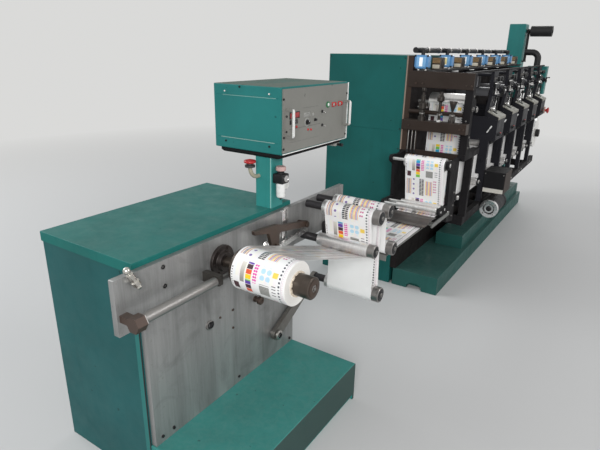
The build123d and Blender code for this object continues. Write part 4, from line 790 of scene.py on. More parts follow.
FINISHES: dict[str, Finish] = {
    "green": Paint("green_enamel", GREEN, 0.34, gloss=0.22),
    "step": Paint("step_enamel", (0.027, 0.205, 0.183), 0.4, gloss=0.2, zones=STEP_SHADE_ZONES),
    "stand_lid": Paint("stand_lid_enamel", (0.013, 0.135, 0.12), 0.44, dust=0.07, gloss=0.12),
    "post": Paint("post_enamel", (0.033, 0.22, 0.205), 0.34, gloss=0.22, zones=POST_HIGHLIGHT_ZONES),
    # Painted shade: the rewind cabinet's green is painted darker than the press's green.
    "cabinet": Paint("cabinet_enamel", (0.012, 0.088, 0.09), 0.38, gloss=0.14, zones=CABINET_HIGHLIGHT_ZONES),
    # Painted shade: the drive cabinet's green is painted darker than the press's green.
    "shaded_drive_green": Paint("drive_cabinet_enamel", (0.011, 0.098, 0.09), 0.38, gloss=0.14),
    # Painted shade: the plinth under the press is painted a darker green.
    "shaded_plinth_green": Paint("plinth_enamel", (0.018, 0.082, 0.072), 0.42, dust=0.08, gloss=0.16),
    "case": Paint("case_enamel", (0.02, 0.17, 0.162), 0.36, zones=CASE_ZONES, grime=0.1, dust=0.0, gloss=0.2),
    "panel": Paint("panel_enamel", (0.19, 0.188, 0.17), 0.42, clouds=0.06, grime=0.08, dust=0.0,
                   zones=PANEL_ZONES),
    "plate": GroundPlate(),
    "idler": Turned("idler_steel", (0.86, 0.845, 0.84), 0.34, zones=BOSS_ZONES),
    "roller": Turned("roller_steel", (0.78, 0.765, 0.75), 0.3),
    "bright": Turned("bright_steel", (0.66, 0.65, 0.64), 0.18, stain=0.08),
    "stay": Turned("stay_steel", (0.62, 0.61, 0.6), 0.26, along=Axis.Y, stain=0.15),
    "hood": Turned("hood_sheet", (0.07, 0.07, 0.075), 0.42, 0.6, along=Axis.Y, stain=0.2),
    "browned": Turned("browned_steel", (0.07, 0.05, 0.04), 0.42, 0.6, stain=0.5,
                      stain_colour=(0.13, 0.08, 0.055)),
    "bearing": Turned("bearing_iron", (0.035, 0.028, 0.026), 0.4, 0.6, stain=0.3,
                      stain_colour=(0.1, 0.07, 0.05)),
    "adjuster": Turned("adjuster_iron", (0.03, 0.025, 0.022), 0.38, 0.6, along=Axis.Z, stain=0.3),
    "mandrel": Turned("mandrel_steel", (0.075, 0.06, 0.05), 0.3, 0.75, stain=0.3),
    "screws": Turned("pressure_screw_steel", (0.5, 0.49, 0.48), 0.28, along=Axis.Z, zones=SCREW_ZONES),
    "guide": Paint("guide_rod_steel", (0.27, 0.26, 0.25), 0.36, 0.8, zones=GUIDE_ZONES, grime=0.2),
    "dark": Paint("dark_frame_enamel", (0.011, 0.01, 0.011), 0.6, grime=0.3, dust=0.03, gloss=0.12),
    "housing": Paint("housing_enamel", (0.015, 0.015, 0.019), 0.45, dust=0.03, gloss=0.16),
    "brown_frame": Paint("brown_frame_enamel", (0.026, 0.017, 0.013), 0.42, dust=0.05, gloss=0.25),
    "drive": Paint("drive_frame_enamel", (0.012, 0.0095, 0.0095), 0.6, dust=0.03, zones=DRIVE_ZONES,
                   gloss=0.12),
    "lid": Paint("lid_sheet", (0.22, 0.21, 0.175), 0.4, dust=0.1),
    "table": Paint("table_sheet", (0.2, 0.2, 0.19), 0.36, 0.4, dust=0.05),
    "cover": Paint("cover_sheet", (0.05, 0.042, 0.04), 0.36, 0.3, dust=0.08, gloss=0.4),
    "drum": Paint("motor_casting", (0.014, 0.014, 0.016), 0.45, dust=0.04, zones=MOTOR_ZONES, gloss=0.2),
    "motor_box": Paint("motor_box_enamel", (0.011, 0.011, 0.012), 0.5, dust=0.03, zones=MOTOR_BOX_ZONES,
                       gloss=0.14),
    "blue": Moulded("lamp_blue", (0.1, 0.27, 0.52), 0.3, zones=LAMP_ZONES),
    "cream": Moulded("fan_body", (0.05, 0.038, 0.028), 0.5),
    "red": Moulded("stop_red", (0.42, 0.02, 0.022), 0.3, zones=STOP_ZONES),
    "far_stop": Moulded("far_stop_case", (0.45, 0.42, 0.34), 0.4, zones=FAR_STOP_ZONES),
    "regulator": Moulded("regulator_body", (0.025, 0.025, 0.025), 0.4, zones=REGULATOR_ZONES),
    "rubber": Moulded("black_rubber", (0.014, 0.014, 0.014), 0.6, gloss=0.3),
    "hose": Moulded("duct_hose", (0.013, 0.013, 0.014), 0.5, gloss=0.3),
    "brass": Turned("valve_plating", (0.52, 0.5, 0.46), 0.22, along=Axis.Z, stain=0.3),
    "core": Board(),
    "label_roll": Stock("label_roll_stock", True, PrintLay.ROLL, LABEL_ROLL[:2], LABEL_ROLL[2]),
    "unwind_roll": Stock("unwind_roll_stock", False, PrintLay.ROLL, UNWIND_ROLL[:2], UNWIND_ROLL[2]),
    "printed": Stock("printed_stock", True, reflection_streaks_from=REFLECTION_STREAKS_FROM),
    "half_printed": Stock("half_printed_stock", True, printed_from=PRESS_PRINTED_FROM),
    "backing": Stock("backing_stock"),
    "black_cap": Moulded("black_cap", (0.012, 0.012, 0.013), 0.4, gloss=0.3),
    "fitting": Turned("fitting_steel", (0.26, 0.25, 0.24), 0.34, stain=0.3),
    "arm_boss": Turned("arm_boss_steel", (0.5, 0.48, 0.45), 0.25, stain=0.3),
    "arm": Turned("dancer_arm_steel", (0.2, 0.19, 0.175), 0.4, 0.8, stain=0.45,
                  stain_colour=(0.09, 0.07, 0.06)),
    "white_cap": Moulded("white_cap", (0.78, 0.78, 0.76), 0.3),
    "red_cap": Moulded("red_cap", (0.45, 0.02, 0.02), 0.3),
    "green_cap": Moulded("green_cap", (0.02, 0.16, 0.06), 0.3),
    "amber_lens": Moulded("amber_lens", (0.72, 0.62, 0.28), 0.3, glow=0.15),
    "display": Moulded("display_glass", (0.3, 0.012, 0.016), 0.15, glow=0.12),
    "smoked": Moulded("smoked_glass", (0.02, 0.012, 0.014), 0.12),
    "label_plate": Moulded("blank_label_plate", (0.3, 0.3, 0.28), 0.35),
    "lamp_face": Moulded("lamp_face", (0.2, 0.42, 0.68), 0.25),
    "lamp_lens": Moulded("lamp_lens", (0.85, 0.87, 0.88), 0.2, glow=0.25),
    "panel_mark": Moulded("panel_mark", (0.07, 0.07, 0.065), 0.4),
    "lid_pad": Moulded("lid_pad", (0.33, 0.33, 0.29), 0.3),
    "regulator_knob": Moulded("regulator_knob", (0.5, 0.33, 0.31), 0.45),
    "fan_stripe": Moulded("fan_stripe", (0.4, 0.25, 0.11), 0.4),
    "fan_pale": Moulded("fan_pale", (0.6, 0.55, 0.44), 0.4),
}

NODE_FINISH: dict[str, str] = {
    "air_ducts": "hose", "air_regulator": "regulator", "air_valve": "brass", "control_case": "case",
    "control_panel": "panel", "control_post": "post", "control_tray": "dark", "cross_beams": "brown_frame",
    "dancer_arm": "arm", "dancer_roller": "idler", "delivery_frame": "dark", "delivery_table": "table",
    "drive_cabinet": "shaded_drive_green", "drive_frame": "drive", "dryer_hoods": "hood", "fan_boxes": "cream",
    "far_stop": "far_stop", "feed_motor": "drum", "gear_cover": "green", "guide_rod": "guide",
    "idler_rollers": "idler", "ink_pans": "hood", "label_roll": "label_roll", "lamp_boxes": "blue",
    "layon_arm": "browned", "motor_box": "motor_box", "nip_adjusters": "adjuster", "outfeed_plates": "dark",
    "outfeed_rollers": "roller", "panel_buttons": "black_cap", "plate_plug": "rubber", "plinth": "shaded_plinth_green",
    "press_idlers": "roller", "pressure_screws": "screws", "print_cylinders": "roller",
    "print_units": "housing", "rewind_cabinet": "cabinet", "rewind_lid": "stand_lid",
    "rewind_plate": "plate", "rewind_spindle": "mandrel", "rewind_step": "step",
    "roll_core": "core", "side_rail": "dark", "spindle_bearing": "bearing", "stay_bars": "stay",
    "stop_button": "red", "table_cover": "cover", "top_rails": "dark", "unit_lids": "lid",
    "unwind_guard": "green", "unwind_post": "green", "unwind_roll": "unwind_roll", "unwind_shafts": "rubber",
}


class Paints:
    """Materials made so far, so that pieces with one finish share it."""

    def __init__(self) -> None:
        """Start with none."""
        self.made: dict[str, bpy.types.Material] = {}

    def get(self, finish: str) -> bpy.types.Material:
        """Material of a finish, made at its first use.

        Args:
            finish: a key of FINISHES.

        Returns:
            The material.
        """
        if finish not in self.made:
            self.made[finish] = FINISHES[finish].build()
        return self.made[finish]

    def dress(self, piece: bpy.types.Object, *finishes: str) -> None:
        """Give a piece its finishes.

        Args:
            piece: the piece.
            finishes: keys of FINISHES, one for each of its material slots in order.
        """
        piece.data.materials.clear()
        for finish in finishes:
            piece.data.materials.append(self.get(finish))


# ---------------------------------------------------------------------------------------------
# Modelling


def stub(foot: float, side: float, top: float, radius: float, rim: float) -> Outline:
    """Outline of a disc or stud with a broken edge: straight from foot to side, narrower at its top."""
    return (foot, radius), (side, radius), (top, rim)


def barrel(start: float, end: float, edge: float, radius: float, rim: float) -> Outline:
    """Outline of a bar or band whose two edges are broken over the same length."""
    return (start, rim), (start + edge, radius), (end - edge, radius), (end, rim)


def socketed(foot: float, side: float, top: float, floor: float, radii: Sequence[float]) -> Outline:
    """Outline of a cap with a broken edge and a socket in its face.

    Args:
        foot: where it starts.
        side: where its side ends.
        top: its face.
        floor: bottom of the socket.
        radii: of its side, its face's rim, the socket's mouth and the socket's floor.

    Returns:
        The outline.
    """
    side_radius, rim, mouth, bore = radii
    return (foot, side_radius), (side, side_radius), (top, rim), (top, mouth), (floor, bore)


class Bench:
    """Modelling steps that the sub-assemblies share, each on one mesh at a time."""

    @staticmethod
    def clear() -> None:
        """Deselect everything, in object mode."""
        if bpy.context.object is not None and bpy.context.object.mode != "OBJECT":
            bpy.ops.object.mode_set(mode="OBJECT")
        bpy.ops.object.select_all(action="DESELECT")

    @staticmethod
    def pick(piece: bpy.types.Object) -> None:
        """Select one piece and make it active.

        Args:
            piece: the piece.
        """
        Bench.clear()
        piece.select_set(True)
        bpy.context.view_layer.objects.active = piece

    @staticmethod
    def settle(name: str) -> bpy.types.Object:
        """Name the active piece and move its place into its mesh.

        Args:
            name: the piece's name.

        Returns:
            The piece.
        """
        piece = bpy.context.object
        piece.name = name
        bpy.ops.object.transform_apply(location=True, rotation=True, scale=True)
        return piece

    @staticmethod
    def block(low: Point, high: Point, bevel: float = 0.0008, segments: int = 2) -> bpy.types.Object:
        """Cube set between two corners, its edges bevelled.

        Args:
            low: its lowest corner.
            high: its highest corner.
            bevel: width of the bevel.
            segments: faces round the bevel.

        Returns:
            The block.
        """
        Bench.clear()
        middle = (Vector(low) + Vector(high)) / 2
        bpy.ops.mesh.primitive_cube_add(size=1.0, calc_uvs=False, location=middle)
        bpy.context.object.scale = Vector(high) - Vector(low)
        piece = Bench.settle("block")
        bpy.ops.object.mode_set(mode="EDIT")
        bpy.ops.mesh.select_all(action="SELECT")
        bpy.ops.mesh.bevel(offset=bevel, segments=segments, affect="EDGES")
        bpy.ops.object.mode_set(mode="OBJECT")
        bpy.ops.object.shade_smooth_by_angle(angle=SMOOTH_ANGLE)
        return piece

    @staticmethod
    def turned(axis: Axis, base: Point, outline: Outline, sides: int = 24) -> bpy.types.Object:
        """Disc extruded and resized ring by ring along an axis.

        Args:
            axis: the axis it is turned about.
            base: a point on that axis, from which the outline's distances are measured.
            outline: (distance, radius) of each ring in order.
            sides: corners of each ring.

        Returns:
            The turned piece.
        """
        Bench.clear()
        middle = Vector(base)
        middle[axis.value] += outline[0][0]
        turn = {Axis.X: (0.0, pi / 2, 0.0), Axis.Y: (-pi / 2, 0.0, 0.0), Axis.Z: (0.0, 0.0, 0.0)}[axis]
        bpy.ops.mesh.primitive_circle_add(vertices=sides, radius=outline[0][1], fill_type="NGON",
                                          calc_uvs=False, location=middle, rotation=turn)
        piece = Bench.settle("turned")
        bpy.ops.object.mode_set(mode="EDIT")
        bpy.ops.mesh.select_all(action="SELECT")
        for (start, small), (end, large) in zip(outline, outline[1:]):
            shift = Vector((0.0, 0.0, 0.0))
            shift[axis.value] = end - start
            middle += shift
            bpy.ops.mesh.extrude_region_move(TRANSFORM_OT_translate={"value": shift})
            bpy.ops.transform.resize(value=(large / small,) * 3, center_override=middle)
        bpy.ops.mesh.select_all(action="SELECT")
        bpy.ops.mesh.normals_make_consistent(inside=False)
        bpy.ops.object.mode_set(mode="OBJECT")
        bpy.ops.object.shade_smooth_by_angle(angle=SMOOTH_ANGLE)
        return piece

    @staticmethod
    def lean(piece: bpy.types.Object, angle: float, axis: Axis, centre: Point) -> bpy.types.Object:
        """Turn a piece's mesh about a point.

        Args:
            piece: the piece.
            angle: how far, in radians, by the right hand rule.
            axis: what it turns about.
            centre: the point that stays.

        Returns:
            The piece.
        """
        Bench.pick(piece)
        bpy.ops.object.mode_set(mode="EDIT")
        bpy.ops.mesh.select_all(action="SELECT")
        bpy.ops.transform.rotate(value=-angle, orient_axis=axis.name, center_override=centre)
        bpy.ops.object.mode_set(mode="OBJECT")
        return piece

    @staticmethod
    def copy(piece: bpy.types.Object, shift: Point, name: str = "copy") -> bpy.types.Object:
        """Copy a piece with a mesh of its own.

        Args:
            piece: the piece.
            shift: how far from it the copy stands.
            name: the copy's name.

        Returns:
            The copy.
        """
        Bench.pick(piece)
        bpy.ops.object.duplicate(linked=False)
        bpy.ops.transform.translate(value=shift)
        return Bench.settle(name)

    @staticmethod
    def join(pieces: Sequence[bpy.types.Object], name: str) -> bpy.types.Object:
        """Join pieces into one mesh.

        Args:
            pieces: the pieces.
            name: the joined piece's name.

        Returns:
            The joined piece.
        """
        Bench.pick(pieces[0])
        for piece in pieces[1:]:
            piece.select_set(True)
        if len(pieces) > 1:
            bpy.ops.object.join()
        return Bench.settle(name)


@dataclass
class Kit:
    """Fittings of one sub-assembly, joined into one piece for each finish."""

    assembly: str
    paints: Paints
    body: str = "press"
    parts: dict[str, list[bpy.types.Object]] = field(default_factory=dict)

    def add(self, finish: str, *pieces: bpy.types.Object) -> None:
        """Put pieces under a finish."""
        self.parts.setdefault(finish, []).extend(pieces)

    def turned(self, finish: str, axis: Axis, base: Point, outline: Outline, sides: int = 24) -> None:
        """Put a turned piece under a finish."""
        self.add(finish, Bench.turned(axis, base, outline, sides))

    def block(self, finish: str, low: Point, high: Point, bevel: float = 0.0008, segments: int = 2) -> None:
        """Put a block under a finish."""
        self.add(finish, Bench.block(low, high, bevel, segments))

    def row(self, finish: str, piece: bpy.types.Object, *shifts: Point) -> None:
        """Put a piece under a finish, and a copy at each shift from it."""
        self.add(finish, piece, *(Bench.copy(piece, shift) for shift in shifts))

    def screw(self, axis: Axis, base: Point, radius: float = 0.005, way: float = 1.0,
              finish: str = "fitting") -> None:
        """Put a socket screw's head on a face.

        Args:
            axis: the screw's axis.
            base: the middle of the head's seat.
            radius: of the head.
            way: 1.0 where the head stands towards the axis's positive end, -1.0 where it doesn't.
            finish: the screw's finish.
        """
        high = radius * 0.8 * way
        self.turned(finish, axis, base,
                    socketed(-SUNK * way, 0.8 * high, high, 0.3 * high,
                             (radius, 0.88 * radius, 0.52 * radius, 0.48 * radius)), 16)

    def nut(self, axis: Axis, base: Point, radius: float = 0.008, way: float = 1.0,
            finish: str = "bright") -> None:
        """Put a washer, a hexagon nut and its stud on a face.

        Args:
            axis: the nut's axis.
            base: the middle of the washer's seat.
            radius: of the nut's corners.
            way: 1.0 where it stands towards the axis's positive end, -1.0 where it doesn't.
            finish: the nut's finish.
        """
        step = radius * 0.16 * way
        self.turned(finish, axis, base, ((-SUNK * way, 1.25 * radius), (step, 1.25 * radius)), 20)
        self.turned(finish, axis, base, stub(0.8 * step, 5.4 * step, 6.2 * step, radius, 0.84 * radius), 6)
        self.turned(finish, axis, base,
                    stub(6.0 * step, 8.5 * step, 9.0 * step, 0.5 * radius, 0.4 * radius), 14)

    def whole(self) -> bpy.types.Object:
        """Join and mount all the fittings as one piece with a material for each finish.

        Returns:
            The piece.
        """
        dressed = []
        for finish, pieces in self.parts.items():
            dressed.append(Bench.join(pieces, finish))
            self.paints.dress(dressed[-1], finish)
        piece = Bench.join(dressed, self.assembly)
        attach(piece, self.body)
        LOG.info("%s: %d faces", piece.name, len(piece.data.polygons))
        return piece

    def mount(self, count: int = 1, shift: Point = (0.0, 0.0, 0.0)) -> None:
        """Join, dress and mount the fittings, and copy them along the machine.

        Args:
            count: how many sets stand in a row.
            shift: from one set to the next.
        """
        for finish, pieces in self.parts.items():
            first = Bench.join(pieces, f"{self.assembly}_{finish}")
            self.paints.dress(first, finish)
            copies = [Bench.copy(first, Vector(shift) * number, f"{self.assembly}_{finish}_{number + 1}")
                      for number in range(1, count)]
            for piece in (first, *copies):
                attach(piece, self.body)
                LOG.info("%s: %d faces", piece.name, len(piece.data.polygons))


@dataclass
class Web:
    """Strip of stock laid round rollers given as (y, z, radius, turn), printed on its outer side."""

    name: str
    node: str
    rollers: tuple[Wrap, ...]
    finishes: tuple[str, str]
    middle_x: float = 0.003
    half_width: float = 0.11
    thickness: float = 0.0005
    stand_off: float = 0.0006
    step: float = radians(7.0)
    lengths: list[float] = field(default_factory=list)

    def line(self) -> list[Spot]:
        """Points of the strip's middle line.

        Returns:
            (y, z) points from its first roller to its last.
        """
        laid = [(y, z, r + self.stand_off, s) for y, z, r, s in self.rollers]
        runs = []
        for (ya, za, ra, sa), (yb, zb, rb, sb) in zip(laid, laid[1:]):
            span = hypot(yb - ya, zb - za)
            angle = atan2(zb - za, yb - ya) - asin((sb * rb - sa * ra) / span)
            normal = (-sin(angle), cos(angle))
            runs.append((angle, [(y - normal[0] * s * r, z - normal[1] * s * r)
                                 for y, z, r, s in ((ya, za, ra, sa), (yb, zb, rb, sb))]))
        points = [runs[0][1][0]]
        for (before, _), (after, _), (y, z, r, s) in zip(runs, runs[1:], laid[1:]):
            turn = (after - before) % (2 * pi) if s > 0 else -((before - after) % (2 * pi))
            count = max(1, ceil(abs(turn) / self.step))
            for k in range(count + 1):
                angle = before + turn * k / count
                points.append((y + sin(angle) * s * r, z - cos(angle) * s * r))
        points.append(runs[-1][1][1])
        return points

    def build(self, paints: Paints) -> bpy.types.Object:
        """Extrude the strip along its line, give it its thickness and lay its pattern.

        Args:
            paints: where the finishes come from.

        Returns:
            The strip.
        """
        points = self.line()
        Bench.clear()
        bpy.ops.mesh.primitive_plane_add(size=1.0, calc_uvs=False)
        bpy.context.object.scale = (2 * self.half_width, 1.0, 1.0)
        strip = Bench.settle(self.name)
        bpy.ops.object.mode_set(mode="EDIT")
        bpy.ops.mesh.select_all(action="DESELECT")
        bpy.ops.object.mode_set(mode="OBJECT")
        for vertex in strip.data.vertices:
            vertex.select = vertex.co.y > 0
        bpy.ops.object.mode_set(mode="EDIT")
        bpy.ops.mesh.delete(type="VERT")
        bpy.ops.mesh.select_all(action="SELECT")
        start = Vector((self.middle_x, points[0][0], points[0][1]))
        bpy.ops.transform.translate(value=start - Vector((0.0, -0.5, 0.0)))
        for (y0, z0), (y1, z1) in zip(points, points[1:]):
            bpy.ops.mesh.extrude_region_move(TRANSFORM_OT_translate={"value": (0.0, y1 - y0, z1 - z0)})
        bpy.ops.object.mode_set(mode="OBJECT")
        self.lay_pattern(strip, points)
        paints.dress(strip, *self.finishes)
        self.thicken(strip)
        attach(strip, "press")
        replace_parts(strip, self.node)
        return strip

    def lay_pattern(self, strip: bpy.types.Object, points: list[Spot]) -> None:
        """Give the strip a UV map in metres: across, and along its line.

        Args:
            strip: the strip, one pair of vertices for each point.
            points: the line's points.
        """
        along = [0.0]
        for (y0, z0), (y1, z1) in zip(points, points[1:]):
            along.append(along[-1] + hypot(y1 - y0, z1 - z0))
        layer = strip.data.uv_layers.new(name="along_web")
        for polygon in strip.data.polygons:
            for corner in polygon.loop_indices:
                vertex = strip.data.loops[corner].vertex_index
                across = strip.data.vertices[vertex].co.x - self.middle_x + self.half_width
                layer.data[corner].uv = (across, along[vertex // 2])
        self.lengths = along

    def thicken(self, strip: bpy.types.Object) -> None:
        """Turn the strip's faces to the printed side and give it a wall with a blank back.

        Args:
            strip: the strip as one sheet of faces.
        """
        Bench.pick(strip)
        (y0, z0), (y1, z1) = self.line()[:2]
        if strip.data.polygons[0].normal.dot(Vector((0.0, z1 - z0, y0 - y1))) < 0:
            bpy.ops.object.mode_set(mode="EDIT")
            bpy.ops.mesh.select_all(action="SELECT")
            bpy.ops.mesh.flip_normals()
            bpy.ops.object.mode_set(mode="OBJECT")
        bpy.ops.object.modifier_add(type="SOLIDIFY")
        solidify = strip.modifiers[-1]
        solidify.thickness = self.thickness
        solidify.offset = 0.0
        solidify.material_offset = 1
        bpy.ops.object.modifier_apply(modifier=solidify.name)
        bpy.ops.object.shade_smooth_by_angle(angle=SMOOTH_ANGLE)


@dataclass
class Studio:
    """Camera at the photograph's viewing angle, plain pale floor and soft light."""

    place: Point = (0.9133, -3.0127, 1.4685)
    yaw: float = 0.577165
    pitch: float = 0.340509
    roll: float = 0.019199
    lens: float = 29.96
    floor_colour: Colour = (0.56, 0.56, 0.555)
    backdrop: Colour = (0.7, 0.7, 0.69)
    fade: Spot = (2.6, 7.5)
    room: Colour = (0.9, 0.92, 0.95)
    room_strength: float = 0.36
    lamps: tuple[tuple[str, Point, Point, float, float, Colour], ...] = (
        ("window_light", (-5.5, -2.5, 4.2), (0.0, -0.6, 0.7), 4.0, 210.0, (0.95, 0.98, 1.0)),
        ("front_light", (2.3, -5.2, 2.5), (-0.2, -1.0, 0.7), 2.2, 190.0, (1.0, 1.0, 1.0)),
        ("side_light", (5.5, 1.5, 3.8), (0.0, 0.4, 0.8), 3.0, 120.0, (1.0, 1.0, 1.0)),
        ("back_light", (-1.0, 6.5, 4.2), (0.0, 1.5, 0.8), 3.0, 120.0, (1.0, 1.0, 1.0)),
    )

    def camera(self) -> None:
        """Set the camera."""
        data = bpy.data.cameras.new("photo_camera")
        data.lens = self.lens
        data.sensor_width = 36.0
        data.clip_start = 0.05
        data.clip_end = 60.0
        camera = bpy.data.objects.new("photo_camera", data)
        bpy.context.scene.collection.objects.link(camera)
        forward = Vector((-sin(self.yaw) * cos(self.pitch), cos(self.yaw) * cos(self.pitch), -sin(self.pitch)))
        level = Vector((cos(self.yaw), sin(self.yaw), 0.0))
        rise = level.cross(forward)
        right = level * cos(self.roll) + rise * sin(self.roll)
        top = rise * cos(self.roll) - level * sin(self.roll)
        turn = Matrix((right, top, -forward)).transposed().to_4x4()
        camera.matrix_world = Matrix.Translation(self.place) @ turn
        bpy.context.scene.camera = camera

    def lamp(self, name: str, place: Point, aim: Point, size: float, power: float, colour: Colour) -> None:
        """Hang one soft lamp.

        Args:
            name: its name.
            place: where it hangs.
            aim: the point it shines at.
            size: side of the square that shines.
            power: its power in watts.
            colour: its light.
        """
        data = bpy.data.lights.new(name, "AREA")
        data.shape = "SQUARE"
        data.size = size
        data.energy = power
        data.color = colour
        lamp = bpy.data.objects.new(name, data)
        bpy.context.scene.collection.objects.link(lamp)
        lamp.location = place
        lamp.rotation_euler = (Vector(aim) - Vector(place)).to_track_quat("-Z", "Y").to_euler()

    def seen(self, tree: bpy.types.NodeTree) -> bpy.types.NodeSocket:
        """Share of a ray that is seen straight, in a mirror or through glass.

        Args:
            tree: the node tree that asks.

        Returns:
            The socket, 1 for such a ray and 0 for the light that falls on the press.
        """
        path = tree.nodes.new("ShaderNodeLightPath")
        seen = path.outputs["Is Camera Ray"]
        for ray in ("Is Glossy Ray", "Is Transmission Ray"):
            either = tree.nodes.new("ShaderNodeMath")
            either.operation = "MAXIMUM"
            tree.links.new(seen, either.inputs[0])
            tree.links.new(path.outputs[ray], either.inputs[1])
            seen = either.outputs[0]
        return seen

    def floor(self) -> None:
        """Lay the floor, which runs into the backdrop's own colour away from the press."""
        Bench.clear()
        bpy.ops.mesh.primitive_plane_add(size=60.0, location=(0.0, 0.0, -0.0005))
        floor = Bench.settle("pale_floor")
        bpy.ops.object.mode_set(mode="EDIT")
        bpy.ops.mesh.subdivide(number_cuts=3)
        bpy.ops.object.mode_set(mode="OBJECT")
        tree = Tree("pale_floor")
        x, y, _ = tree.axes()
        far = tree.spread(tree.distance(x, y), *self.fade)
        tree.shade(Base_Color=(*self.floor_colour, 1.0), Roughness=0.75)
        glow = tree.add("Emission")
        glow.inputs["Color"].default_value = (*self.backdrop, 1.0)
        tree.links.new(self.seen(tree.material.node_tree), glow.inputs["Strength"])
        blend = tree.add("MixShader")
        tree.links.new(far, blend.inputs[0])
        tree.links.new(tree.shader.outputs[0], blend.inputs[1])
        tree.links.new(glow.outputs[0], blend.inputs[2])
        tree.links.new(blend.outputs[0], tree.nodes["Material Output"].inputs["Surface"])
        floor.data.materials.append(tree.material)

    def light(self) -> None:
        """Hang the lamps and set the world's own light and its backdrop."""
        for row in self.lamps:
            self.lamp(*row)
        world = bpy.data.worlds.new("soft_room")
        world.use_nodes = True
        tree = world.node_tree
        room = tree.nodes["Background"]
        room.inputs["Color"].default_value = (*self.room, 1.0)
        room.inputs["Strength"].default_value = self.room_strength
        backdrop = tree.nodes.new("ShaderNodeBackground")
        backdrop.inputs["Color"].default_value = (*self.backdrop, 1.0)
        blend = tree.nodes.new("ShaderNodeMixShader")
        tree.links.new(self.seen(tree), blend.inputs[0])
        tree.links.new(room.outputs[0], blend.inputs[1])
        tree.links.new(backdrop.outputs[0], blend.inputs[2])
        tree.links.new(blend.outputs[0], tree.nodes["World Output"].inputs["Surface"])
        bpy.context.scene.world = world
        bpy.context.scene.view_settings.view_transform = "Standard"


DELIVERY_LINE: tuple[Wrap, ...] = (
    (*TOP_ROLLER, 1), (*FRONT_IDLER, -1), (*RISE_ROLLER, -1), (*CREST_ROLLER, 1), (*TURN_ROLLER, -1),
    (*TABLE_IDLER, -1), (*SECOND_IDLER, 1), (*DANCER_ROLLER, -1), (*FIRST_IDLER, 1), (*BARE_ROLLER, -1),
    (*LABEL_ROLL, 1),
)


def press_line() -> tuple[Wrap, ...]:
    """Rollers of the web through the press.

    Returns:
        The rollers from the unwind roll to the delivery's top roller.
    """
    wraps: list[Wrap] = []
    for number in range(STATIONS):
        strand = FIRST_STRAND_Y + STATION_PITCH * number
        wraps = [(strand + 0.165, *LOW_IDLER, -1), (strand + 0.07, *IMPRESSION, 1),
                 (strand - 0.025, *LOW_IDLER, -1)] + wraps
    return ((*UNWIND_ROLL, -1), *wraps, (0.075, *LOW_IDLER, -1), (*TOP_ROLLER, 1))


# ---------------------------------------------------------------------------------------------
# Fittings


@dataclass(frozen=True)
class Trim:
    """Fittings of one sub-assembly, mounted on one body and repeated along the machine."""

    name: str = "trim"
    body: str = "press"
    count: int = 1
    spacing: float = 0.0

    def build(self, paints: Paints) -> None:
        """Model the fittings, join and dress them, and mount each set.

        Args:
            paints: where the finishes come from.
        """
        kit = Kit(self.name, paints, self.body)
        self.fit(kit)
        kit.mount(self.count, (0.0, self.spacing, 0.0))

    def fit(self, kit: Kit) -> None:
        """Model one set of the fittings into a kit."""
        raise NotImplementedError


